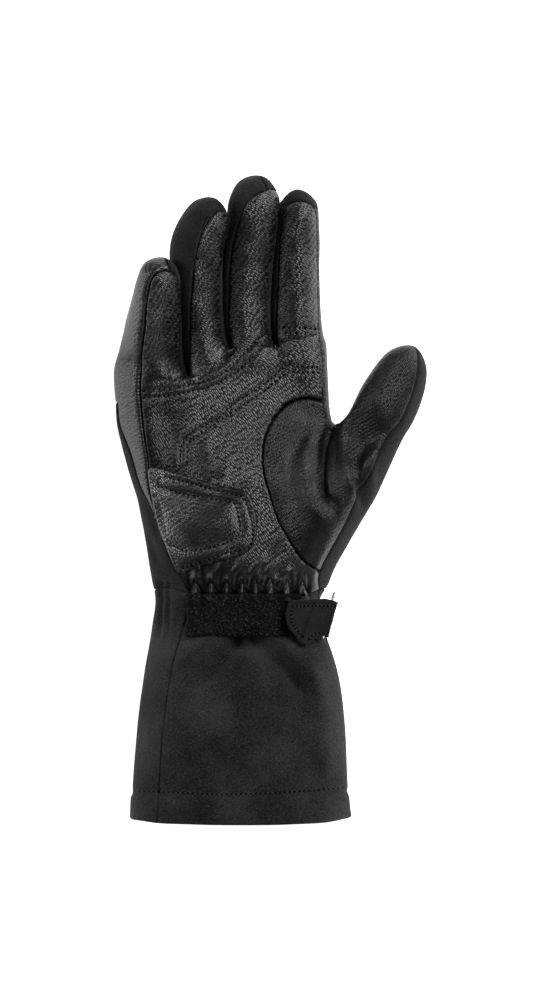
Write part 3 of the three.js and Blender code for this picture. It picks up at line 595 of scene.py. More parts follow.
def on_palm(pixels):
    """Places in the photograph, in pixels, as x,y in millimetres."""
    return [
        ((px - PHOTO_CENTRE[0]) / PIXELS_PER_MM, (PHOTO_CENTRE[1] - py) / PIXELS_PER_MM)
        for px, py in pixels
    ]


STITCH_ROWS = {
    "base_upper": on_palm([
        (144, 391), (169, 389), (188, 385), (211, 379), (229, 369.5), (242, 355.5), (262, 336),
    ]),
    "base_lower": on_palm([
        (144, 398), (173, 395), (191, 391), (209, 387), (229, 376.6), (246, 364), (265, 341.5),
    ]),
    "index_upper": on_palm([(284, 327.5), (300, 328), (315.6, 329)]),
    "index_lower": on_palm([(286, 333), (301, 333.5), (315.6, 334.5)]),
    "palm_upper": on_palm([
        (180, 466), (180.8, 449), (187, 437), (202.5, 427), (219, 417), (238, 401), (256, 390),
        (271, 379), (284, 368), (292, 366), (306, 367), (317, 367),
    ]),
    "palm_lower": on_palm([
        (187, 462), (188.5, 445), (197, 437), (215, 424), (230.6, 413.5), (246, 404),
        (262.4, 392.5), (278, 379.5), (289, 372), (303, 372.7), (318, 372.7),
    ]),
}
STITCH_PITCH = 2.5
for name, row in STITCH_ROWS.items():
    curve = spline(row)
    d, arc, length = along_line(skin[:, :2], curve)
    ends = smoothstep(arc, -1, 2) * smoothstep(length - arc, -1, 2)
    pucker = 0.5 + 0.5 * np.cos(2 * np.pi * arc / STITCH_PITCH)
    lift += ends * front_facing * (
        -0.45 * np.exp(-((d / 1.0) ** 2)) - 0.55 * pucker * np.exp(-((d / 0.9) ** 2))
        + 0.3 * np.exp(-(((d - 2.4) / 1.2) ** 2))
    )
print("rows of stitches:", len(STITCH_ROWS))

# %% [markdown]
# Nothing that is sewn lies quite even, so a slow unevenness goes over the whole skin
# and a finer one over that. The cuff's hem is a turned and stitched band, so it is
# thicker, with a line pressed in above it. Then the skin is moved by all the lifts at
# once. Where it would sink below the table that the glove rests on, it lies flat.

# %% Move the skin
def rough_noise(co, scale, offset=0.0):
    """Smooth random numbers from -1 to 1, about one scale apart, the same in each run."""
    return np.array([noise.noise(Vector(p) / scale + Vector((offset, 0, 0))) for p in co])


HEM_TOP = -146.0
SLOW, FINE = (0.3, 16.0), (0.07, 6.0)
lift += SLOW[0] * rough_noise(skin, SLOW[1]) + FINE[0] * rough_noise(skin, FINE[1], 31.0)
hem_line = np.exp(-(((y - HEM_TOP) / 1.1) ** 2))
hem_band = smoothstep(-y, -HEM_TOP, -HEM_TOP + 2.0)
lift += -0.8 * hem_line + 0.45 * hem_band
skin = skin + normals * lift[:, None]
skin[:, 2] = np.maximum(skin[:, 2], 0.0)
normals = point_normals(skin, quads)
print("skin moved by", round(lift.min(), 1), "to", round(lift.max(), 1), "mm")

# %% [markdown]
# The cloth between two fingers is one folded strip, full enough to meet its neighbour.
# So no daylight shows between the fingers of a resting glove. Each gap is measured at
# many heights along the fingers, and the two walls swell by half of it.

# %% Fill the gaps between the fingers
WALL_GAP = -1.3
GAP_ROUNDS = 4
FINGER_SPAN = {"little": (61, 108), "ring": (66, 136), "middle": (75, 148), "index": (78, 142)}
axes = {}
for finger in FINGERS:
    rows = [row for name, row in DIGITS.items() if name.startswith(finger + "_")]
    axes[finger] = np.array([[r["y"], r["x"]] for r in rows])
of_finger = {}
for k, finger in enumerate(FINGERS):
    of_finger[finger] = np.zeros(len(skin), bool)
    of_finger[finger][quads[digit_of == k]] = True
for left, right in list(zip(FINGERS, FINGERS[1:])) * GAP_ROUNDS:
    x, y = skin[:, 0], skin[:, 1]
    left_axis = np.interp(y, *axes[left].T)
    right_axis = np.interp(y, *axes[right].T)
    low, high = FINGER_SPAN[left][0], min(FINGER_SPAN[left][1], FINGER_SPAN[right][1])
    between_axes = (x > left_axis) & (x < right_axis) & (y > low - 4) & (y < high + 6)
    on_left = between_axes & of_finger[left] & (normals[:, 0] > 0.15)
    on_right = between_axes & of_finger[right] & (normals[:, 0] < -0.15)
    bins = np.arange(low - 3, high + 5, 1.0)
    gaps = []
    for at in bins:
        near = np.abs(y - at) < 1.1
        if (on_left & near).any() and (on_right & near).any():
            gaps.append(x[on_right & near].min() - x[on_left & near].max())
        else:
            gaps.append(0)
    half = np.maximum(np.interp(y, bins, gaps) / 2 - WALL_GAP / 2, 0) / 2
    half *= smoothstep(y, low - 4, low) * smoothstep(-y, -high - 6, -high)
    full = smoothstep(np.hypot(normals[:, 0], normals[:, 1]), 0.3, 0.8)
    skin[:, 0] += np.where(on_left, half * full, 0) - np.where(on_right, half * full, 0)
    print(f"gap {left} to {right}: up to {max(gaps):.1f} mm")
normals = point_normals(skin, quads)

# %% [markdown]
# On the fingers the leather ends in a round tip, and cloth or side leather wraps over
# it to a short joining seam. The faces are shared out again by the outline of each
# finger's leather, and the points on the edge are slid onto that outline.

# %% Outlines of the fingers' leather
FINGER_LEATHER = {
    "little": on_palm([
        (140.7, 363), (145, 330), (146, 313), (148, 300), (149.8, 288), (152.5, 280),
        (156.6, 274.8), (161.5, 271.8), (166.3, 270.8), (171, 271.5), (174.8, 274), (178, 278),
        (180.4, 283), (181.6, 292), (181.6, 309), (180.6, 330), (180.4, 351), (181.5, 366),
        (186, 377), (184, 395), (140, 395), (139.7, 380),
    ]),
    "ring": on_palm([
        (189.5, 351), (189.5, 338), (190, 326), (190.5, 307), (192, 289), (193.5, 274),
        (196, 259.5), (199, 246.5), (203, 234), (206.5, 226.5), (211, 219.5), (214, 215),
        (218.5, 212), (223.5, 212), (227, 214.5), (228.6, 219), (228.2, 226), (227.5, 235),
        (225, 247), (222.7, 259.5), (220.6, 272), (220, 284), (219.7, 297), (220, 309), (221, 321),
        (222.7, 334), (225.5, 344), (229, 352), (226, 375), (190, 385), (188.5, 372),
    ]),
    "middle": on_palm([
        (228.5, 326), (228, 310), (228.5, 293), (229, 277), (230, 263), (231.5, 251), (234, 240),
        (237, 228), (241, 216), (244.5, 207.5), (249, 201), (253.5, 197), (259, 193.6),
        (264, 191.2), (269, 190), (273.5, 190.2), (277, 192.5), (279, 196.5), (279.6, 204),
        (279, 212), (277, 224), (275.4, 235), (273.8, 247), (272.4, 259.5), (270.4, 272),
        (269, 284), (267.8, 297), (267.5, 309), (268, 321), (269.4, 332), (274, 344), (270, 358),
        (236, 365), (231, 350),
    ]),
    "index": on_palm([
        (276, 330), (276.5, 300), (278, 276), (279, 252), (280, 232), (281.2, 220), (283.5, 211),
        (287, 206), (291, 203.6), (296.5, 202), (302, 201.5), (307.5, 203), (312, 206), (315, 211),
        (316.4, 217), (317, 232), (317.2, 252), (317.6, 275), (318, 300), (318.4, 320),
        (318.6, 345), (300, 350), (280, 348),
    ]),
}
TIP_JOINS = {
    "little": on_palm([(165, 252), (171, 271)]),
    "ring": on_palm([(213.5, 190), (222, 212)]),
    "middle": on_palm([(256, 169), (268, 190)]),
}
print("points on the outlines:", [len(line) for line in FINGER_LEATHER.values()])

# %% [markdown]
# The skin's faces don't follow an outline by themselves, and a border of whole small
# faces looks like a saw. A boolean or knife cut would follow it, but leaves long thin
# triangles that show in the shine. So the nearest points are slid onto the outline,
# along the skin, which keeps clean four-sided faces.

# %% Leather fronts of the fingers
def inside(xy, outline):
    """Which points of x,y lie within a closed outline."""
    result = np.zeros(len(xy), bool)
    for (x0, y0), (x1, y1) in zip(outline, np.roll(outline, -1, axis=0)):
        crosses = (y0 > xy[:, 1]) != (y1 > xy[:, 1])
        at = x0 + (xy[:, 1] - y0) / (y1 - y0 + 1e-12) * (x1 - x0)
        result ^= crosses & (xy[:, 0] < at)
    return result


def slide_to_curve(co, normals, chosen_faces, region, curve, reach=1.2):
    """Moves the points on the edge of a region onto its curve, and picks the faces within."""
    centres = co[quads[chosen_faces]].mean(axis=1)
    within = inside(centres[:, :2], region)
    counts_in = np.zeros(len(co), int)
    counts_out = np.zeros(len(co), int)
    np.add.at(counts_in, quads[chosen_faces][within], 1)
    np.add.at(counts_out, quads[chosen_faces][~within], 1)
    edge = np.flatnonzero((counts_in > 0) & (counts_out > 0))
    tree = KDTree(len(curve))
    for i, (cx, cy) in enumerate(curve):
        tree.insert((cx, cy, 0), i)
    tree.balance()
    moved = co.copy()
    for v in edge:
        place, _, distance = tree.find((co[v][0], co[v][1], 0))
        if distance < reach:
            shift = np.array([place[0] - co[v][0], place[1] - co[v][1], 0])
            n = normals[v]
            shift[2] = -(n[0] * shift[0] + n[1] * shift[1]) / max(n[2], 0.25)
            moved[v] += shift
    return moved, chosen_faces[within]


LEATHER = PANELS.index("palm_leather")
for k, finger in enumerate(FINGERS):
    outline = spline(FINGER_LEATHER[finger], closed=True)
    centres = skin[quads].mean(axis=1)
    face_normals = normals[quads].mean(axis=1)
    near_wall, far_wall = PANELS.index(WALLS[k]), PANELS.index(WALLS[k + 1])
    axis_x = np.interp(centres[:, 1], *axes[finger].T)
    here = (digit_of == k) & (face_normals[:, 2] > 0.05)
    ids = np.flatnonzero(here)
    within = inside(centres[ids][:, :2], outline)
    others = ids[~within]
    panel_of[ids[within]] = LEATHER
    beside = centres[others][:, 0] > axis_x[others]
    top = max(y for _, y in FINGER_LEATHER[finger])
    above = centres[others][:, 1] > top - 3.5
    if finger in TIP_JOINS:
        (x0, y0), (x1, y1) = TIP_JOINS[finger]
        right_of = (
            (x1 - x0) * (centres[others][:, 1] - y0) - (y1 - y0) * (centres[others][:, 0] - x0) > 0
        )
    else:
        right_of = np.zeros(len(others), bool)
    to_far = np.where(above, right_of, beside)
    panel_of[others] = np.where(to_far, far_wall, near_wall)
    skin, _ = slide_to_curve(skin, normals, ids, outline, outline)
    print(f"{finger}: {within.sum()} leather faces on the finger")
normals = point_normals(skin, quads)

# %% [markdown]
# The palm leather and the thumb's gusset lie on one skin, and an oval seam parts them.
# The heel patch and the padded middle of it lie on the palm too. Their outlines are cut
# in the same way as those of the fingers' leather.

# %% Cut the oval seam and the outlines of the patches
GUSSET_EDGE = [
    (26.5, 49.5), (18, 51), (9.5, 48.7), (2.5, 41.7), (-2.3, 32), (-3.7, 22), (-3, 12.5),
    (-0.2, 2.5), (3.3, -8.8), (9, -19.3), (16.5, -30.5), (24.5, -35.7),
]
THUMB_REACH = [(60, -36), (95, -20), (95, 90), (45, 90), (33.2, 38.5), (27.8, 43)]
PATCH_EDGE = [
    (-60, 16), (-44.5, 13), (-29.5, 8.5), (-16.5, 5.5), (-11, 3.5), (-8, -2.5), (-6.5, -10.8),
    (-7, -18.5), (-10, -25), (-19, -29), (-34.5, -33.2), (-46, -36.3), (-51.2, -25), (-56, -12),
    (-59, 2),
]
PAD_EDGE = [
    (-56, 6.5), (-44.5, 3.5), (-29.5, 1), (-21, -0.5), (-17.5, -2.5), (-15.5, -9.8), (-15, -15),
    (-17, -19), (-24.2, -22), (-34.5, -24.5), (-43, -25), (-48, -23), (-50.5, -21), (-53.5, -9),
]
gusset_curve = spline(GUSSET_EDGE)
gusset_region = np.vstack([gusset_curve, THUMB_REACH])
patch_curve = spline(PATCH_EDGE, closed=True)
pad_curve = spline(PAD_EDGE, closed=True)
HEEL_TOP = 45.0
palm_faces = np.flatnonzero(panel_of == LEATHER)
skin, gusset_faces = slide_to_curve(skin, normals, palm_faces, gusset_region, gusset_curve)
panel_of[gusset_faces] = PANELS.index("thumb_gusset")
low = (skin[quads[palm_faces]][:, :, 1] < HEEL_TOP).all(axis=1)
facing_up = (normals[quads[palm_faces]][:, :, 2] > 0.1).all(axis=1)
on_heel = np.setdiff1d(palm_faces[low & facing_up], gusset_faces)
skin, patch_faces = slide_to_curve(skin, normals, on_heel, patch_curve, patch_curve)
skin, pad_faces = slide_to_curve(skin, normals, patch_faces, pad_curve, pad_curve)
print("gusset:", len(gusset_faces), "patch:", len(patch_faces), "pad:", len(pad_faces), "faces")

# %% [markdown]
# Down the free side of the index finger and of the palm runs a strip of stretch knit,
# which lets the hand open. The faces of the palm beyond its line are given to it, and
# the line is cut as the others were.

# %% The knit strip beside the palm
KNIT_EDGE = spline(on_palm([
    (318.4, 322), (318.6, 330), (322, 355), (323.2, 381), (323.6, 401), (323.8, 417), (326.5, 425),
    (331, 428),
]))
knit_region = np.vstack([KNIT_EDGE, on_palm([(352, 428), (352, 322)])])
beside_palm = np.setdiff1d(palm_faces, gusset_faces)
beside_palm = beside_palm[(skin[quads[beside_palm]][:, :, 0] > 20).all(axis=1)]
skin, knit_faces = slide_to_curve(skin, normals, beside_palm, knit_region, KNIT_EDGE)
panel_of[knit_faces] = PANELS.index("index_side_panel")
normals = point_normals(skin, quads)
print("knit strip:", len(knit_faces), "faces")

# %% [markdown]
# Wherever two faces of different panels share an edge, there is a seam. Seams differ:
# the palm's edge on the little-finger side is a thin bright welt, and the side panel
# beside it sinks deep. The table says how each panel's edge turns down towards each of
# its neighbours, as leather does round its stitches.

# %% Find the seams
# how wide and how deep the edge turns, and the height of the welt before it, in millimetres
SEAMS = {
    ("palm_leather", "outer_side_panel"): (0.9, 1.6, 0.55),
    ("outer_side_panel", "palm_leather"): (3.0, 2.1, 0.0),
    ("outer_side_panel", "back_panel"): (1.5, 1.0, 0.0),
    ("palm_leather", "walls"): (1.1, 1.2, 0.2),
    ("walls", "palm_leather"): (1.4, 1.5, 0.0),
    ("palm_leather", "thumb_gusset"): (1.2, 1.5, 0.2),
    ("thumb_gusset", "palm_leather"): (2.0, 1.7, 0.0),
    ("thumb_gusset", "thumb_back"): (1.2, 1.3, 0.2),
    ("thumb_back", "thumb_gusset"): (2.4, 1.8, 0.0),
    ("palm_leather", "back_panel"): (0.9, 1.5, 0.3),
    ("back_panel", "palm_leather"): (2.2, 1.6, 0.0),
    ("cuff_front", "cuff_back"): (1.6, 1.0, 0.0),
    ("cuff_back", "cuff_front"): (1.6, 1.0, 0.0),
}
PLAIN_SEAM = (1.4, 0.9, 0.0)
OPEN_EDGE = (1.6, 0.9, 0.0)
SEAM_KIND = {name: "walls" for name in WALLS[1:]}


def edges_of(four):
    """The edges of a set of faces, as pairs with the lower point first, and their faces."""
    pairs = np.stack([four, np.roll(four, -1, axis=1)], axis=2).reshape(-1, 2)
    return np.sort(pairs, axis=1), np.repeat(np.arange(len(four)), 4)


all_edges, edge_faces = edges_of(quads)
order = np.lexsort((all_edges[:, 1], all_edges[:, 0]))
sorted_edges, sorted_faces = all_edges[order], edge_faces[order]
same = (sorted_edges[1:] == sorted_edges[:-1]).all(axis=1)
shared = np.flatnonzero(same)
across_seam = shared[panel_of[sorted_faces[shared]] != panel_of[sorted_faces[shared + 1]]]
alone = np.ones(len(sorted_edges), bool)
alone[shared] = alone[shared + 1] = False
open_points = np.unique(sorted_edges[alone])
seam_points = {}
for e in across_seam:
    p, q = panel_of[sorted_faces[e]], panel_of[sorted_faces[e + 1]]
    for a, b in ((p, q), (q, p)):
        seam_points.setdefault((PANELS[a], PANELS[b]), set()).update(sorted_edges[e])
print("seams:", len(seam_points) // 2, "points on open edges:", len(open_points))

# %% [markdown]
# Each panel now becomes a piece of its own. How far a point sinks depends only on its
# distance from the seam, so the edge is a quarter of a round, with the welt before it.
# A Bevel modifier would round all the edges alike and could not tell one seam from
# another.

# %% Panels from the skin
def nearest_distance(co, marks):
    tree = KDTree(len(marks))
    for i, mark in enumerate(marks):
        tree.insert(mark, i)
    tree.balance()
    return np.array([tree.find(p)[2] for p in co])


def turned_edge(d, seam):
    """How far the surface sinks at a distance d from the seam."""
    width, depth, welt = seam
    t = np.clip(d / width, 0, 1)
    roll = depth * (1 - np.sqrt(np.maximum(0, 1 - (1 - t) ** 2)))
    return roll - welt * np.exp(-(((d - 1.1 * width) / (0.5 * width)) ** 2))


def panel_mesh(name):
    """The points, faces and inward sink of one panel, before it gets a thickness."""
    four = quads[panel_of == PANELS.index(name)]
    used, local = np.unique(four, return_inverse=True)
    co = skin[used]
    sink = np.zeros(len(used))
    for (a, b), marks in seam_points.items():
        if a != name:
            continue
        key = (SEAM_KIND.get(a, a), SEAM_KIND.get(b, b))
        sink = np.maximum(sink, turned_edge(
            nearest_distance(co, skin[sorted(marks)]), SEAMS.get(key, PLAIN_SEAM),
        ))
    rim = np.intersect1d(used, open_points)
    if len(rim):
        sink = np.maximum(sink, turned_edge(nearest_distance(co, skin[rim]), OPEN_EDGE))
    moved = co - normals[used] * sink[:, None]
    moved[:, 2] = np.maximum(moved[:, 2], 0.0)
    return moved, local.reshape(-1, 4)


def new_piece(name, co, four):
    """A mesh object at the origin from places in millimetres and faces."""
    mesh = bpy.data.meshes.new(name)
    mesh.from_pydata((np.asarray(co) * MM).tolist(), [], [list(map(int, f)) for f in four])
    mesh.update()
    piece = bpy.data.objects.new(name, mesh)
    bpy.context.collection.objects.link(piece)
    return piece


pieces = {}
for name in PANELS:
    co, four = panel_mesh(name)
    piece = new_piece(name.replace("_panel", "") + "_shell", co, four)
    pieces[name] = piece
    print(f"{name}: {len(four)} faces")

# %% [markdown]
# Black leather, black cloth and black thread differ only in how they break the light.
# Goat leather has a grain of short raised strokes, all leaning one way, with tops worn
# to a shine. Their colour is painted paler on the tops, a painted highlight, and darker
# in the hollows, painted shade. Softshell is a matt cloth with a faint mottle and a soft
# sheen at its rims. An image would show a real hide, but it would have a fixed size and
# would not join at the seams. Noise in object coordinates runs through each panel at
# true scale.
# The same few nodes come again in every finish, so each has a short helper.

# %% Helpers for materials
def add_node(tree, kind, inputs=None, **settings):
    """Adds a node, with its settings, and its inputs as values or as other nodes' outputs."""
    node = tree.nodes.new(kind)
    for key, value in settings.items():
        setattr(node, key, value)
    for key, value in (inputs or {}).items():
        if isinstance(value, bpy.types.NodeSocket):
            tree.links.new(value, node.inputs[key])
        else:
            node.inputs[key].default_value = value
    return node


def new_finish(name, sockets):
    """A material with one Principled shader, whose even values sit on its own sockets."""
    material = bpy.data.materials.new(name)
    material.use_nodes = True
    tree = material.node_tree
    shader = tree.nodes["Principled BSDF"]
    for key, value in sockets.items():
        shader.inputs[key].default_value = value
    place = add_node(tree, "ShaderNodeTexCoord").outputs["Object"]
    return material, tree, shader, place


def mapped(tree, place, size, turn=0.0, at=(0, 0, 0)):
    """Object coordinates counted in pattern cells of the given size in millimetres."""
    sizes = [s * MM for s in (size if isinstance(size, tuple) else (size,) * 3)]
    return add_node(tree, "ShaderNodeMapping", {
        "Vector": place, "Scale": sizes, "Rotation": (0, 0, math.radians(turn)), "Location": at,
    }, vector_type="TEXTURE").outputs["Vector"]


def cloudy(tree, vector, detail=2.0, rough=0.5):
    return add_node(tree, "ShaderNodeTexNoise", {
        "Vector": vector, "Scale": 1.0, "Detail": detail, "Roughness": rough,
    }).outputs["Fac"]


def ranged(tree, value, low, high, to_low=0.0, to_high=1.0):
    return add_node(tree, "ShaderNodeMapRange", {
        "Value": value, "From Min": low, "From Max": high, "To Min": to_low, "To Max": to_high,
    }).outputs["Result"]


def sum_of(tree, a, b, share=1.0):
    return add_node(
        tree, "ShaderNodeMath", {0: b, 1: share, 2: a}, operation="MULTIPLY_ADD",
    ).outputs[0]


def times(tree, a, b):
    return add_node(tree, "ShaderNodeMath", {0: a, 1: b}, operation="MULTIPLY").outputs[0]


def tinted(tree, shader, value, dark, bright):
    """Mixes two greys by a value into the shader's colour."""
    mix = add_node(tree, "ShaderNodeMix", data_type="RGBA")
    tree.links.new(value, mix.inputs[0])
    mix.inputs[6].default_value = (*dark, 1)
    mix.inputs[7].default_value = (*bright, 1)
    tree.links.new(mix.outputs[2], shader.inputs["Base Color"])


def bumped(tree, shader, height, depth):
    """Turns a height from 0 to 1 into a relief of the given depth in millimetres."""
    bump = add_node(tree, "ShaderNodeBump", {
        "Height": height, "Distance": depth * MM, "Strength": 1.0,
    })
    tree.links.new(bump.outputs["Normal"], shader.inputs["Normal"])


def grey(value):
    return (value, value, value)


print("materials before the first finish:", len(bpy.data.materials))

# %% [markdown]
# Goat leather is made of long cells that lean one way, so a Voronoi pattern is
# stretched and turned, bent a little by noise, and bumped. It is patchy where the hide
# was looser, and on the fingers it leans another way. The tops of the strokes are
# smoother, and their colour is painted paler as a highlight and darker in the hollows as
# shade. Where the wrist is gathered the grain is pulled flat, and its colour is painted
# darker there, painted shade. A ramp over the palm paints the grain darker towards the
# heel and the little-finger side, painted shade, and one over the heel patch paints its
# left edge brighter, a painted highlight.

# %% Goat leather
def strokes(tree, place, grain, turn, dimensions="2D"):
    """Raised strokes of the given width and length in millimetres, from 0 to 1, seen along z."""
    cells = add_node(tree, "ShaderNodeTexVoronoi", {
        "Vector": mapped(tree, place, (grain[0], grain[1], grain[0]), turn),
        "Scale": 1.0, "Randomness": 0.6,
    }, feature="F1", voronoi_dimensions=dimensions).outputs["Distance"]
    return ranged(tree, cells, 0.6, 0.16)


# from where to where, in metres along y
FINGER_START = (0.052, 0.078)
# where the wrist is gathered: the grain is pulled flat, and its colour painted darker, painted shade
GATHERED_SHADE = (-0.039, -0.024)


def leather(name, grain, turn, depth, dark, bright, roughness,
            finger_turn=None, from_side=False, shine=0.5, painted_light_ramp=None):
    """Goat leather: strokes of the given width and length that lean by the turn.

    The painted light ramp says where the grain's colour and relief are painted darker, as
    shade, or brighter, as a highlight: how much y counts beside x, from where to where,
    and how much.
    """
    material, tree, shader, place = new_finish(name, {
        "Roughness": roughness, "Specular IOR Level": shine,
    })
    if from_side:
        parts = add_node(tree, "ShaderNodeSeparateXYZ", {0: place}).outputs
        place = add_node(tree, "ShaderNodeCombineXYZ", {
            0: parts[2], 1: parts[1], 2: parts[0],
        }).outputs[0]
    wander = add_node(tree, "ShaderNodeVectorMath", {
        0: add_node(tree, "ShaderNodeTexNoise", {
            "Vector": mapped(tree, place, 4.0), "Scale": 1.0,
        }).outputs["Color"],
        "Scale": 0.5 * MM,
    }, operation="SCALE").outputs[0]
    bent = add_node(tree, "ShaderNodeVectorMath", {0: place, 1: wander}, operation="ADD").outputs[0]
    stroke = strokes(tree, bent, grain, turn)
    axes = add_node(tree, "ShaderNodeSeparateXYZ", {0: place}).outputs
    if finger_turn is not None:
        on_finger = strokes(tree, bent, grain, finger_turn)
        stroke = add_node(tree, "ShaderNodeMix", {
            0: ranged(tree, axes["Y"], *FINGER_START), 2: stroke, 3: on_finger,
        }, data_type="FLOAT").outputs[0]
    patchy_and_painted_light = ranged(tree, cloudy(tree, mapped(tree, place, 9.0), 2.0), 0.35, 0.65, 0.55, 1.0)
    # painted shade: flatter and darker grain where the wrist is gathered
    patchy_and_painted_light = times(tree, patchy_and_painted_light, ranged(tree, axes["Y"], *GATHERED_SHADE, 0.3, 1.0))
    # painted shade or painted highlight: a ramp over x and y scales the grain's colour, relief and specular
    # level
    if painted_light_ramp is not None:
        painted_light_share = ranged(tree, sum_of(tree, axes["X"], axes["Y"], painted_light_ramp[0]), *painted_light_ramp[1:])
        patchy_and_painted_light = times(tree, patchy_and_painted_light, sum_of(tree, 0.35, painted_light_share, 0.65))
        tree.links.new(times(tree, painted_light_share, shine), shader.inputs["Specular IOR Level"])
    pores = cloudy(tree, mapped(tree, place, 0.4), 2.0)
    height = sum_of(tree, times(tree, stroke, patchy_and_painted_light), pores, 0.15)
    bumped(tree, shader, height, depth)
    # painted highlight on the tops of the strokes, and painted shade in their hollows
    painted_grain_light = ranged(tree, height, 0.45, 1.05)
    tinted(tree, shader, painted_grain_light, dark, bright)
    gloss = ranged(tree, height, 0.2, 1.0, roughness + 0.06, roughness - 0.04)
    tree.links.new(gloss, shader.inputs["Roughness"])
    return material


# the palm's ramp paints it darker towards the heel and the little-finger side, painted shade
palm_finish = leather(
    "palm_goat_leather", (0.95, 2.2), 36, 0.30, grey(0.002), grey(0.062), 0.32,
    finger_turn=58, painted_light_ramp=(0.55, -0.046, -0.014, 0.4, 1.0),
)
gusset_finish = leather(
    "thumb_goat_leather", (0.8, 1.7), 30, 0.24, grey(0.0015), grey(0.018), 0.36, shine=0.3,
)
side_finish = leather(
    "side_goat_leather", (0.8, 1.8), 30, 0.2, grey(0.002), grey(0.024), 0.36, from_side=True,
)
# the patch's ramp paints its left edge brighter, a painted highlight
patch_finish = leather(
    "patch_goat_leather", (0.9, 2.0), 36, 0.17, grey(0.002), grey(0.026), 0.33,
    painted_light_ramp=(0.0, -0.051, -0.038, 1.7, 1.0),
)
print("leathers:", len(bpy.data.materials))

# %% [markdown]
# Softshell is woven from fine matt yarn. Two stretched noises across each other give
# the threads, a third the mottle, and a broad slow one the tired places. A soft sheen
# lights the rims, as short fibres do. The lining and the strap are cloth as well, only
# rougher or smoother.

# %% Softshell, lining and strap cloth
def cloth(name, mottle, depth, dark, bright, sheen, roughness=0.9):
    """Softshell: a fine crossed weave under an even, cloudy mottle."""
    material, tree, shader, place = new_finish(name, {
        "Roughness": roughness, "Specular IOR Level": 0.15,
        "Sheen Weight": sheen, "Sheen Roughness": 0.4,
    })
    weave = times(
        tree, cloudy(tree, mapped(tree, place, (0.35, 1.3, 0.6), 12), 1.0),
        cloudy(tree, mapped(tree, place, (1.3, 0.35, 0.6), 12, (0.004, 0, 0)), 1.0),
    )
    spots = cloudy(tree, mapped(tree, place, mottle), 3.0, 0.6)
    height = sum_of(tree, ranged(tree, weave, 0.12, 0.4), spots, 0.7)
    bumped(tree, shader, height, depth)
    broad = cloudy(tree, mapped(tree, place, 22.0), 2.0)
    shade = sum_of(
        tree, ranged(tree, height, 0.3, 1.4, 0.0, 0.75),
        ranged(tree, broad, 0.3, 0.7, -0.25, 0.25),
    )
    tinted(tree, shader, shade, dark, bright)
    return material


shell_finish = cloth("softshell_cloth", 1.2, 0.2, grey(0.005), grey(0.024), 0.06)
cuff_finish = cloth("cuff_softshell", 0.8, 0.3, grey(0.004), grey(0.042), 0.05)
lining_finish = cloth("fleece_lining", 0.9, 0.35, grey(0.010), grey(0.022), 0.5, 1.0)
strap_finish = cloth("strap_cloth", 0.9, 0.2, grey(0.003), grey(0.012), 0.02, 0.75)

print("materials with the cloths:", len(bpy.data.materials))

# %% [markdown]
# The knit has small ribs in rows, and their colour is painted paler on the rib tops, a
# painted highlight, and darker between them, painted shade. The strip turns round the
# side of the hand, so the cells have to be solid here: seen flat from above they would
# be drawn out there. The loop band has a dark ground, and its fibres have pale flecks
# where they catch light.

# %% Knit and loop pile
knit_finish, tree, shader, place = new_finish("ribbed_knit", {
    "Roughness": 0.8, "Sheen Weight": 0.15,
})
ribs_and_painted_light = strokes(tree, place, (0.9, 1.2), 60, "3D")
bumped(tree, shader, ribs_and_painted_light, 0.5)
# painted highlight on the tops of the ribs, painted shade between them
tinted(tree, shader, ribs_and_painted_light, grey(0.004), grey(0.09))

loop_finish, tree, shader, place = new_finish("loop_pile", {
    "Roughness": 0.9, "Specular IOR Level": 0.1,
})
specks = ranged(tree, cloudy(tree, mapped(tree, place, 1.1), 2.0), 0.52, 0.72)
bumped(tree, shader, specks, 0.2)
tinted(tree, shader, specks, grey(0.002), grey(0.008))

pile_finish, tree, shader, place = new_finish("loop_fibre", {
    "Roughness": 0.6, "Specular IOR Level": 0.2,
})
flecks = ranged(tree, cloudy(tree, mapped(tree, place, 0.9), 2.0), 0.52, 0.70)
tinted(tree, shader, flecks, grey(0.002), grey(0.10))

print("materials with the knit and the pile:", len(bpy.data.materials))

# %% [markdown]
# What is left is small: two threads, a new one and one that is worn pale, the painted
# shade of a needle hole, a flat near-black disc, and the plated steel of the ring, with
# faint drawn lines along the wire.

# %% Thread, painted shade of the needle holes, and steel
pale_thread_finish, tree, shader, place = new_finish("worn_thread", {"Roughness": 0.5})
tinted(tree, shader, cloudy(tree, mapped(tree, place, 0.8)), grey(0.03), grey(0.16))

thread_finish, tree, shader, place = new_finish("thread", {"Roughness": 0.5})
twist = cloudy(tree, mapped(tree, place, 0.3), 1.0)
bumped(tree, shader, twist, 0.06)
tinted(tree, shader, twist, grey(0.006), grey(0.03))

# painted shade: the dark inside a needle hole, painted on a flat disc
hole_shade_finish, tree, shader, place = new_finish("needle_hole_shade", {
    "Roughness": 0.95, "Specular IOR Level": 0.0,
})
tinted(tree, shader, cloudy(tree, mapped(tree, place, 0.5)), grey(0.001), grey(0.004))

steel_finish, tree, shader, place = new_finish("ring_steel", {"Metallic": 1.0})
brushed = cloudy(tree, mapped(tree, place, (0.2, 4.0, 0.2)), 2.0)
tinted(tree, shader, brushed, grey(0.55), grey(0.8))
tree.links.new(ranged(tree, brushed, 0.2, 0.8, 0.2, 0.36), shader.inputs["Roughness"])
print("materials:", len(bpy.data.materials))

# %% [markdown]
# Until now the panels are sheets. The Solidify modifier gives each a real wall, to the
# inside, because the outside is already where it belongs. The wall's inner side takes
# the lining as its material, so that the cuff's mouth shows a lined glove. Each panel
# then takes the place of its node in the frame: the node is hidden, and the panel rides
# on the root body.

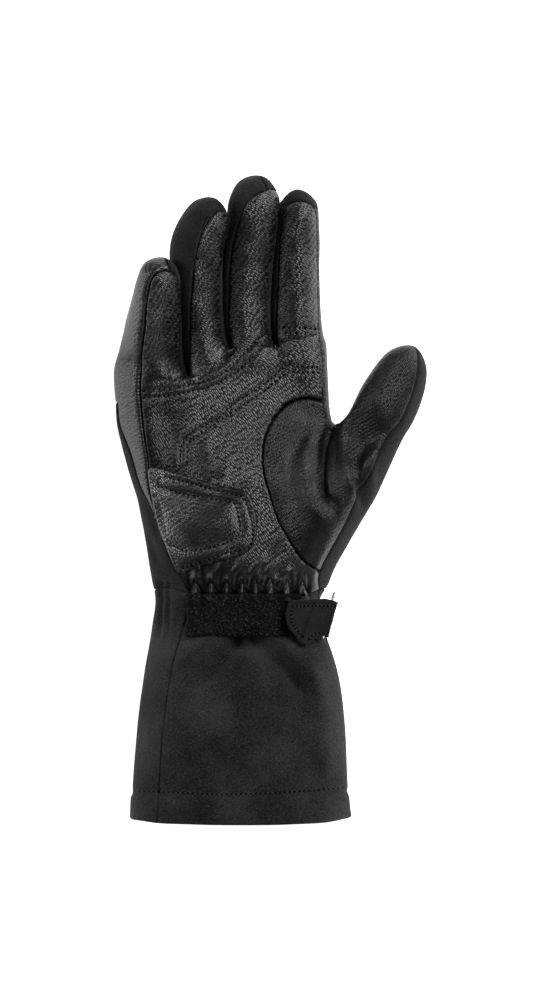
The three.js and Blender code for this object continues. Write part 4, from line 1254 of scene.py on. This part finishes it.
# %% Thickness and finishes of the panels
def apply_modifier(piece, modifier):
    bpy.ops.object.select_all(action="DESELECT")
    bpy.context.view_layer.objects.active = piece
    piece.select_set(True)
    bpy.ops.object.modifier_apply(modifier=modifier.name)
    return piece


def give_thickness(piece, thick, inner_slot):
    """Thickens a sheet inward. Its inner side takes the material so many slots further on."""
    solid = piece.modifiers.new("thickness", "SOLIDIFY")
    solid.thickness = thick * MM
    solid.offset = -1
    solid.material_offset = inner_slot
    solid.use_even_offset = False
    return apply_modifier(piece, solid)


def smooth_shade(piece):
    piece.data.polygons.foreach_set("use_smooth", [True] * len(piece.data.polygons))
    piece.data.update()


def finish_piece(piece, finishes, nodes, thick=None):
    """Gives a piece its finishes, its thickness and its place in the frame."""
    for finish in finishes:
        piece.data.materials.append(finish)
    if thick:
        give_thickness(piece, thick, len(finishes) - 1)
    smooth_shade(piece)
    if nodes:
        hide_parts(*nodes)
    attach(piece, "root")


WALL_THICK = 2.0
FINISHES = {
    "palm_leather": palm_finish, "thumb_gusset": gusset_finish, "outer_side_panel": side_finish,
    "wall_little_ring": shell_finish, "wall_ring_middle": shell_finish,
    "wall_middle_index": shell_finish,
    "index_side_panel": knit_finish, "back_panel": shell_finish, "thumb_back": shell_finish,
    "cuff_front": cuff_finish, "cuff_back": cuff_finish,
}
for name, piece in pieces.items():
    finish_piece(piece, [FINISHES[name], lining_finish], [name], WALL_THICK)
    for v in piece.data.vertices:
        v.co.z = max(v.co.z, 0.0)
    piece.data.update()
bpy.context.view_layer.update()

# %% [markdown]
# The heel of the palm carries a second layer of leather, sewn down along two rows, with
# a soft pad puffed up inside. A flat sheet with a thick edge would look like a sticker.
# So the layer follows the skin, its edge turns down, and a valley runs along each row.

# %% Heel patch and its padded middle
def outline_distance(xy, curve):
    return nearest_distance(
        np.column_stack([xy, np.zeros(len(xy))]), np.column_stack([curve, np.zeros(len(curve))]),
    )


def sheet_over(face_ids):
    used, local = np.unique(quads[face_ids], return_inverse=True)
    return used, local.reshape(-1, 4)


PATCH_LIFT = 1.3
PATCH_ROWS = {
    "patch_outer": on_palm([
        (165.5, 477), (189, 482.5), (211, 489), (232, 494), (243, 498), (249, 511), (253, 532),
        (250, 546), (240, 550), (227, 553), (201, 562), (183, 567.5),
    ]),
    "patch_inner": on_palm([
        (158, 487), (181, 493), (211, 498), (228, 501), (235, 505), (239, 519.6), (240, 530),
        (236, 538), (221.6, 544), (201, 549), (184, 550), (174, 546), (169.6, 545),
    ]),
}
used, patch_local = sheet_over(patch_faces)
co = skin[used]
d = outline_distance(co[:, :2], patch_curve)
rise = PATCH_LIFT - turned_edge(d, (1.1, 1.0, 0.12))
for row in PATCH_ROWS.values():
    away, arc, _ = along_line(co[:, :2], spline(row))
    pucker = 0.5 + 0.5 * np.cos(2 * np.pi * arc / STITCH_PITCH)
    rise -= 0.5 * np.exp(-((away / 1.1) ** 2)) + 0.25 * pucker * np.exp(-((away / 0.8) ** 2))
rise += 0.3 * rough_noise(co, 9.0, 12.0) * smoothstep(d, 0.5, 3)
patch_skin = co + normals[used] * rise[:, None]
patch = new_piece("heel_patch_sheet", patch_skin, patch_local)
finish_piece(patch, [patch_finish, lining_finish], ["heel_patch"], 1.0)
print("patch:", len(patch_local), "faces, rise up to", round(rise.max(), 1), "mm")

# %% [markdown]
# Inside the inner row the patch is stuffed. Stuffed leather isn't a dome with an even
# slope: it swells until its own stretch holds it. So this is a short cloth simulation.
# The sheet's edge is sewn down, air presses from inside, and twenty frames go by. Cloth
# works badly at the size of a coin, so the sheet is simulated ten times as large.

# %% Let the heel pad swell
PAD_SWELL = {
    "grow": 10, "pressure": 60, "frames": 20, "most": 2.6, "quick_rise": 2.0, "quick_width": 7.5,
}


def swollen(sheet_co, four, sewn):
    """A sheet blown up by a cloth simulation with its sewn points held, in millimetres."""
    grow = PAD_SWELL["grow"]
    sheet = new_piece("swelling_sheet", sheet_co * grow, four)
    group = sheet.vertex_groups.new(name="sewn")
    group.add(sewn, 1.0, "REPLACE")
    cloth_modifier = sheet.modifiers.new("cloth", "CLOTH")
    settings = cloth_modifier.settings
    settings.use_pressure = True
    settings.uniform_pressure_force = PAD_SWELL["pressure"]
    settings.tension_stiffness = settings.compression_stiffness = 5
    settings.bending_stiffness = 0.05
    settings.vertex_group_mass = group.name
    settings.effector_weights.gravity = 0
    cloth_modifier.collision_settings.use_collision = False
    for number in range(1, PAD_SWELL["frames"] + 1):
        bpy.context.scene.frame_set(number)
    apply_modifier(sheet, cloth_modifier)
    blown = np.array([v.co[:] for v in sheet.data.vertices]) / MM / grow
    bpy.data.objects.remove(sheet)
    bpy.context.scene.frame_set(1)
    return blown


pad_used, pad_local = sheet_over(pad_faces)
in_patch = np.searchsorted(used, pad_used)
pad_start = patch_skin[in_patch]
pad_d = outline_distance(pad_start[:, :2], pad_curve)
pad_edges, _ = edges_of(pad_local)
edge_ids, times_used = np.unique(pad_edges, axis=0, return_counts=True)
sewn = np.unique(edge_ids[times_used == 1])
pad_blown = swollen(pad_start, pad_local, sewn.tolist())
moved = pad_blown - pad_start
far = np.linalg.norm(moved, axis=1, keepdims=True)
pad_skin = pad_start + moved * np.minimum(1, PAD_SWELL["most"] / np.maximum(far, 1e-9))
pad_skin += normals[pad_used] * (0.35 * smoothstep(pad_d, 0, 1.5) - 0.25)[:, None]
pad = new_piece("heel_pad_puff", pad_skin, pad_local)
finish_piece(pad, [patch_finish, lining_finish], ["heel_pad"], 0.9)
print("pad:", len(pad_local), "faces, swelled up to", round(float(far.max()), 2), "mm")

# %% [markdown]
# Across the wrist lies the loop half of a hook-and-loop closure. Its ground is a stiff
# woven band that spans the folds below, so it follows the skin only after the heights
# are smoothed out. Its two long edges are cut and a little ragged. A plane with a
# Shrinkwrap modifier would sink into every gather.

# %% The loop band
skin_tree = BVHTree.FromPolygons((skin * MM).tolist(), quads.tolist())


def on_surface(tree, x, y, lift=0.0):
    """The place on a surface under x,y, seen from above, lifted along its normal."""
    hit, normal, _, _ = tree.ray_cast(Vector((x * MM, y * MM, 0.2)), Vector((0, 0, -1)))
    if hit is None:
        return None, None
    if normal.z < 0:
        normal = -normal
    return np.array(hit) / MM + np.array(normal) * lift, np.array(normal)


def grid_faces(rows, cols):
    """Four-sided faces of a grid, counted row by row."""
    return [(r * cols + c, r * cols + c + 1, (r + 1) * cols + c + 1, (r + 1) * cols + c)
            for r in range(rows - 1) for c in range(cols - 1)]


BAND = {"left": -41.6, "right": 15.5, "top": -46.8, "bottom": -68.0, "thick": 1.8}
PILE_END = 4.0
columns_x = np.linspace(BAND["left"], BAND["right"], 96)
rows_y = np.linspace(BAND["bottom"], BAND["top"], 34)
heights = np.array([[on_surface(skin_tree, x, y)[0][2] for x in columns_x] for y in rows_y])
for _ in range(30):
    padded = np.pad(heights, 1, mode="edge")
    heights = (padded[:-2, 1:-1] + padded[2:, 1:-1] + padded[1:-1, :-2] + padded[1:-1, 2:]) / 4
edge_far = np.minimum.outer(
    np.minimum(rows_y - BAND["bottom"], BAND["top"] - rows_y),
    np.minimum(columns_x - BAND["left"], 99),
)
ragged = [0.45 * noise.noise(Vector((x / 2.2, end, 5.0))) for end in (0.0, 9.0) for x in columns_x]
ragged = np.array(ragged).reshape(2, -1)
share_up = (rows_y - BAND["bottom"]) / (BAND["top"] - BAND["bottom"])
band_co = [
    (x, y + ragged[0, c] * (1 - share_up[r]) + ragged[1, c] * share_up[r],
     heights[r, c] + BAND["thick"] - turned_edge(edge_far[r, c], (1.1, 1.1, 0.0)))
    for r, y in enumerate(rows_y) for c, x in enumerate(columns_x)
]
band = new_piece("loop_band_base", band_co, grid_faces(len(rows_y), len(columns_x)))
finish_piece(band, [loop_finish], ["wrist_loop_band"], 1.5)
band_tree = BVHTree.FromPolygons(
    (np.array(band_co) * MM).tolist(), grid_faces(len(rows_y), len(columns_x)),
)
print("band:", len(band.data.polygons), "faces")

# %% [markdown]
# The pile on the band is thousands of tiny bent fibres. A particle system would be the
# usual way, but it leaves curves that other programs can't take. So one fibre is half
# of a small torus, cut by bisect, and it is copied all over the band at random turns.
# The generator is seeded, so each run gives the same pile.

# %% One fibre, and thousands of copies
FIBRES = 4200
bpy.ops.object.select_all(action="DESELECT")
bpy.ops.mesh.primitive_torus_add(
    major_segments=12, minor_segments=3, major_radius=0.42 * MM, minor_radius=0.085 * MM,
    location=(0, 0, 0), rotation=(math.radians(90), 0, 0),
)
template = bpy.context.active_object
bpy.ops.object.transform_apply(location=True, rotation=True, scale=True)
bpy.ops.object.mode_set(mode="EDIT")
bpy.ops.mesh.select_all(action="SELECT")
bpy.ops.mesh.bisect(plane_co=(0, 0, -0.1 * MM), plane_no=(0, 0, 1), clear_inner=True, use_fill=True)
bpy.ops.object.mode_set(mode="OBJECT")


def take_template(thing):
    """The points and faces of a modelled template, which is then removed."""
    co = np.array([v.co[:] for v in thing.data.vertices]) / MM
    shapes = [tuple(f.vertices) for f in thing.data.polygons]
    bpy.data.objects.remove(thing)
    return co, shapes


def copies_piece(name, template, places):
    """One mesh of many copies, each at a place with its three axes as columns."""
    co, shapes = template
    all_co, all_faces = [], []
    for i, (at, axes3) in enumerate(places):
        all_co.append(co @ np.array(axes3) + at)
        all_faces += [tuple(v + i * len(co) for v in f) for f in shapes]
    return new_piece(name, np.vstack(all_co), all_faces)


fibre = take_template(template)
places = []
for _ in range(FIBRES):
    x = rng.uniform(BAND["left"] + 0.3, PILE_END + 1.5)
    yy = rng.uniform(BAND["bottom"] + 0.2, BAND["top"] - 0.2)
    if x > PILE_END and rng.random() < 0.6:
        continue
    at, normal = on_surface(band_tree, x, yy, 0.08)
    turn = rng.uniform(0, math.pi)
    lean = normal + rng.normal(0, 0.45, 3)
    up = lean / np.linalg.norm(lean)
    side = unit(np.cross(up, (math.cos(turn), math.sin(turn), 0.1)))
    size = rng.uniform(0.7, 1.35)
    places.append((at, np.array([side, np.cross(up, side), up]) * size))
pile = copies_piece("loop_band_pile", fibre, places)
finish_piece(pile, [pile_finish], [])
print("pile:", len(places), "fibres,", len(pile.data.polygons), "faces")

# %% [markdown]
# On the thumb end of the band lies the strap's end. It is folded round one leg of a
# wire ring and sewn to itself, so it is one ruled sheet: a section that turns round the
# wire, drawn out along the fold. Each line of the sheet is cut where it leaves the
# tab's outline. Its welt stands up at the edge.

# %% The folded tab
FASTENER = {"x": 29, "y": -58.6, "z": 43.3, "lean": -15.7, "tilt": -9}
RING = {"reach_x": -0.2, "reach_z": -5.8, "half": 10.0, "corner": 1.4, "wire": 1.7, "up": 1.3}
TAB_EDGE = [
    (10.4, -49.8), (9.2, -51.2), (7.6, -55.5), (7.9, -59), (8.6, -62.5), (11.8, -67.3),
    (15.6, -71.2), (17.6, -72.4), (19.5, -71.8), (21.8, -69.6), (25.2, -68.1), (29.2, -67.2),
    (30.4, -64), (33.6, -52.2), (33.5, -51), (31.5, -50), (28.8, -49.1), (19, -49.6),
]
TAB_TOP = [(-26, 9.5), (-20.5, 9), (-14.5, 7.6), (-8.5, 5.7), (-3.5, 3.9)]
TAB_THICK = 1.5
fold_radius = RING["wire"] / 2 + 0.3 + TAB_THICK
fastener_turn = (
    Matrix.Translation((FASTENER["x"], FASTENER["y"], FASTENER["z"]))
    @ Matrix.Rotation(math.radians(FASTENER["lean"]), 4, "Z")
    @ Matrix.Rotation(math.radians(FASTENER["tilt"]), 4, "X")
)


def fastened(x, y, z):
    return np.array(fastener_turn @ Vector((x, y, z)))


section = list(spline(TAB_TOP, 0.6))
section += [
    (fold_radius * math.cos(a), fold_radius * math.sin(a)) for a in np.linspace(1.45, -1.75, 16)
]
section += [(-4.0, -1.2), (-5.2, 0.5)]
tab_curve = spline(TAB_EDGE, 0.4, closed=True)
steps = np.linspace(-22, 22, 441)
last = None
tab_rows = []
for i, (x, z) in enumerate(section):
    line = np.array([fastened(x, t, z) for t in steps])
    ok = steps[inside(line[:, :2], tab_curve)]
    if len(ok) > 4 and x < 1.5 and i < len(section) - 12:
        last = (ok.min(), ok.max())
    if last is None:
        continue
    tab_rows.append([fastened(x, t, z) for t in np.linspace(*last, 40)])
tab_co = np.array(tab_rows)
flat_co = tab_co.reshape(-1, 3)
grid = grid_faces(*tab_co.shape[:2])
tab_normals = point_normals(flat_co, np.array(grid))
if tab_normals[len(tab_normals) // 3][2] < 0:
    grid = [tuple(reversed(f)) for f in grid]
    tab_normals = -tab_normals
edge_d = outline_distance(flat_co[:, :2], tab_curve)
fold_line = on_palm([(313, 603), (300, 638)])
fold_d, _, _ = along_line(flat_co[:, :2], fold_line)
rise = 0.4 * np.exp(-(((edge_d - 0.9) / 0.7) ** 2)) - turned_edge(edge_d, (0.5, 0.4, 0.0))
rise -= 1.1 * np.exp(-((fold_d / 0.8) ** 2))
rise += np.where(flat_co[:, 0] < 17, 0.25, 0.0) * smoothstep(fold_d, 0.4, 1.6)
rise += 0.18 * rough_noise(flat_co, 5.0, 3.0)
tab = new_piece("strap_tab", flat_co + tab_normals * rise[:, None], grid)
finish_piece(tab, [strap_finish], ["wrist_tab"], TAB_THICK)
tab_tree = BVHTree.FromPolygons(((flat_co + tab_normals * rise[:, None]) * MM).tolist(), grid)
print("tab:", len(tab.data.polygons), "faces,", [round(float(v), 1) for v in flat_co.max(axis=0)])

# %% [markdown]
# The ring is bent wire, a loop with straight legs. A torus has the right section and
# the right corners already. Its four quarters are moved apart in edit mode, so that
# the edges between them stretch into the legs. It is then turned into its place.

# %% The wire ring
bpy.ops.object.select_all(action="DESELECT")
bpy.ops.mesh.primitive_torus_add(
    major_segments=40, minor_segments=14,
    major_radius=RING["corner"] * MM, minor_radius=RING["wire"] / 2 * MM,
)
ring = bpy.context.active_object
ring.name = ring.data.name = "strap_ring"
TINY = 1e-7
reach = math.hypot(RING["reach_x"], RING["reach_z"])
for axis, shift in ((0, reach / 2 - RING["corner"]), (1, RING["half"])):
    for sign in (1, -1):
        bpy.ops.object.mode_set(mode="EDIT")
        bpy.ops.mesh.select_all(action="DESELECT")
        bpy.ops.object.mode_set(mode="OBJECT")
        for v in ring.data.vertices:
            v.select = (v.co[axis] > -TINY) == (sign > 0)
        bpy.ops.object.mode_set(mode="EDIT")
        offset = [0, 0, 0]
        offset[axis] = sign * shift * MM
        bpy.ops.transform.translate(value=offset)
        bpy.ops.object.mode_set(mode="OBJECT")
RING_TURN = math.pi / 2 + 0.034
to_leg = (
    Matrix.Translation((RING["reach_x"] / 2, RING["up"], RING["reach_z"] / 2))
    @ Matrix.Rotation(RING_TURN, 4, "Y")
)
to_mm = Matrix.Scale(MM, 4) @ fastener_turn @ to_leg @ Matrix.Scale(1 / MM, 4)
ring.data.transform(to_mm)
finish_piece(ring, [steel_finish], ["wire_ring"])
print("ring:", len(ring.data.polygons), "faces")

# %% [markdown]
# The ring's lower leg lies in a loop of narrow webbing, which comes out of the seam at
# the side of the wrist. The webbing is one strip: round the wire first, and then down
# along the cuff, just clear of it. Rays shot sideways at the skin say where the cuff
# is, which a straight strip would miss.

# %% The webbing that holds the ring
HOLDER_HALF = 5.2
loop_radius = RING["wire"] / 2 + 0.3
loop_centre = (RING["reach_x"], RING["reach_z"])
strip = []
for t in np.linspace(-HOLDER_HALF, HOLDER_HALF, 15):
    line = []
    for angle in np.linspace(100, -170, 22):
        a = math.radians(angle)
        line.append(fastened(
            loop_centre[0] + (loop_radius + 1.3) * math.cos(a), t,
            loop_centre[1] + (loop_radius + 1.3) * math.sin(a),
        ))
    y_at = FASTENER["y"] + t
    for z in np.linspace(35.0, 9, 22):
        hit, normal, _, _ = skin_tree.ray_cast(
            Vector((0.08, y_at * MM, z * MM)), Vector((-1, 0, 0)),
        )
        line.append(np.array(hit) / MM + np.array(normal) * (1.5 if normal.x > 0 else -1.5))
    strip.append(line)
strip = np.array(strip)
holder_co = strip.reshape(-1, 3)
holder_faces = grid_faces(*strip.shape[:2])
holder = new_piece("ring_webbing", holder_co, holder_faces)
if holder.data.polygons[len(holder_faces) // 2 + 12].normal.x < 0:
    holder.data.flip_normals()
finish_piece(holder, [strap_finish], ["ring_holder"], 1.2)
print("webbing:", len(holder.data.polygons), "faces")

# %% [markdown]
# Stitches are lock stitches in bonded thread, about four to the centimetre. Each leaves
# a needle hole at both its ends, and the shade in it is painted on a small dark disc. One
# stitch and one such disc are modelled, each from a small sphere that is drawn out and
# flattened.

# %% One stitch and one disc of painted shade for a needle hole
def ball(size_x, size_y, size_z):
    bpy.ops.object.select_all(action="DESELECT")
    bpy.ops.mesh.primitive_uv_sphere_add(segments=8, ring_count=4, radius=1 * MM)
    bpy.ops.transform.resize(value=(size_x, size_y, size_z))
    bpy.ops.object.transform_apply(location=True, rotation=True, scale=True)
    return take_template(bpy.context.active_object)


stitch_shape = ball(0.78, 0.27, 0.24)
hole_shade_shape = ball(0.85, 0.72, 0.16)
print("faces of a stitch:", len(stitch_shape[1]))

# %% [markdown]
# The stitch is laid along every row at an even pitch, turned to the row and to the
# surface below, with the painted shade of a needle hole between each two. Where the row
# crosses a piece that lies on top, the stitch takes the higher surface. All the stitches
# of a row are one mesh, because a thousand objects would be slow and hard to handle.

# %% Rows of stitches on the glove
patch_tree = BVHTree.FromPolygons((patch_skin * MM).tolist(), patch_local.tolist())


def rows_piece(name, rows, trees, pitch, thread, hole_shades=True, lift=0.05, size=1.0):
    """Lays stitches along rows given in x,y, with a disc of painted shade for the needle hole between each two.
    """
    threads, hole_shade_places = [], []
    for row in rows:
        curve = spline(row, 0.25)
        lengths = np.concatenate([[0], np.cumsum(np.linalg.norm(np.diff(curve, axis=0), axis=1))])
        count = max(2, int(round(lengths[-1] / pitch)))
        for i in range(count * 2 + 1):
            at = lengths[-1] * i / (count * 2)
            x, yy = np.interp(at, lengths, curve[:, 0]), np.interp(at, lengths, curve[:, 1])
            x2 = np.interp(min(at + 0.3, lengths[-1]), lengths, curve[:, 0])
            y2 = np.interp(min(at + 0.3, lengths[-1]), lengths, curve[:, 1])
            x1 = np.interp(max(at - 0.3, 0), lengths, curve[:, 0])
            y1 = np.interp(max(at - 0.3, 0), lengths, curve[:, 1])
            found = [on_surface(tree, x, yy, lift) for tree in trees]
            found = [f for f in found if f[0] is not None]
            if not found:
                continue
            place, normal = max(found, key=lambda f: f[0][2])
            along = np.array([x2 - x1, y2 - y1, 0])
            along = unit(along - normal * (along @ normal))
            frame3 = np.array([along, np.cross(normal, along), normal]) * size
            (hole_shade_places if i % 2 == 0 else threads).append((place, frame3))
    piece = copies_piece(name, stitch_shape, threads)
    finish_piece(piece, [thread], [])
    # painted shade: a dark disc at each needle hole
    if hole_shades:
        piece = copies_piece(name + "_holes", hole_shade_shape, hole_shade_places)
        finish_piece(piece, [hole_shade_finish], [])
    print(f"{name}: {len(threads)} stitches")


rows_piece(
    "palm_stitches", STITCH_ROWS.values(), [skin_tree], STITCH_PITCH, thread_finish,
    lift=0.0,
)
rows_piece(
    "patch_stitches", PATCH_ROWS.values(), [patch_tree], 2.3, thread_finish, lift=0.0,
)
HEM_ROW = on_palm([
    (135, 790), (150, 790.3), (168, 791), (195, 792), (229.5, 793), (290, 790.5), (347.5, 786.6),
])
rows_piece(
    "hem_stitches", [HEM_ROW], [skin_tree], 2.4, thread_finish, lift=0.0, size=0.7,
)
TAB_ROWS = [
    on_palm([(292.7, 606), (314, 605.5), (335, 606)]),
    on_palm([(291.5, 611), (291, 617), (292.5, 623), (297, 629.5), (303, 636)]),
    on_palm([(309, 638.5), (315, 633.7), (327.5, 632.5)]),
]
rows_piece("tab_stitches", TAB_ROWS, [tab_tree], 1.9, thread_finish, size=0.8)
RING_ROW = on_palm([(205.5, 233), (199, 259.5), (195.2, 289), (193.3, 326), (192.6, 345)])
rows_piece(
    "finger_stitches", [RING_ROW], [skin_tree], 1.6, pale_thread_finish,
    hole_shades=False, size=0.5,
)

# %% [markdown]
# Black leather shows only by what it mirrors. A large soft light from the thumb side
# gives the grain its bright flanks, a smaller one from the other side opens the shadows
# of the little finger, and a low one lifts the cuff. The floor glows, so that it stays
# plain white without a strong light that would wash the glove out. The camera stands
# high above with a long lens, which keeps the glove as flat as in the photograph.

# %% Studio: floor, lights and camera
CAMERA_HEIGHT = 6.0
FRAME_HEIGHT = 0.5
bpy.ops.mesh.primitive_plane_add(size=8, location=(0, 0, 0))
floor = bpy.context.active_object
floor.name = "studio_floor"
floor_finish, tree, shader, place = new_finish("studio_floor", {
    "Roughness": 0.9, "Base Color": (0.9, 0.9, 0.9, 1),
    "Emission Color": (1, 1, 1, 1), "Emission Strength": 0.95,
})
floor.data.materials.append(floor_finish)


def add_light(name, place, size, power, aim=(0, 0, 0.02)):
    light = bpy.data.lights.new(name, "AREA")
    light.shape = "DISK"
    light.size = size
    light.energy = power
    holder = bpy.data.objects.new(name, light)
    holder.location = place
    holder.rotation_euler = (Vector(aim) - Vector(place)).to_track_quat("-Z", "Y").to_euler()
    bpy.context.collection.objects.link(holder)


add_light("key_light", (0.70, 0.64, 0.86), 0.95, 21)
add_light("side_light", (-1.0, 0.2, 0.42), 0.45, 6)
add_light("low_light", (0.3, -1.0, 0.85), 0.6, 3.2)
world = bpy.data.worlds.new("studio_world")
world.use_nodes = True
world.node_tree.nodes["Background"].inputs["Color"].default_value = (0.95, 0.97, 1, 1)
world.node_tree.nodes["Background"].inputs["Strength"].default_value = 0.05
bpy.context.scene.world = world
bpy.context.scene.view_settings.view_transform = "Standard"

camera = bpy.data.cameras.new("camera")
camera.sensor_width = 36
camera.lens = 36 * (CAMERA_HEIGHT - 0.03) / FRAME_HEIGHT
camera.clip_end = 20
camera_object = bpy.data.objects.new("camera", camera)
camera_object.location = (0.00075, 0, CAMERA_HEIGHT)
bpy.context.collection.objects.link(camera_object)
bpy.context.scene.camera = camera_object
print("lens:", round(camera.lens), "mm")
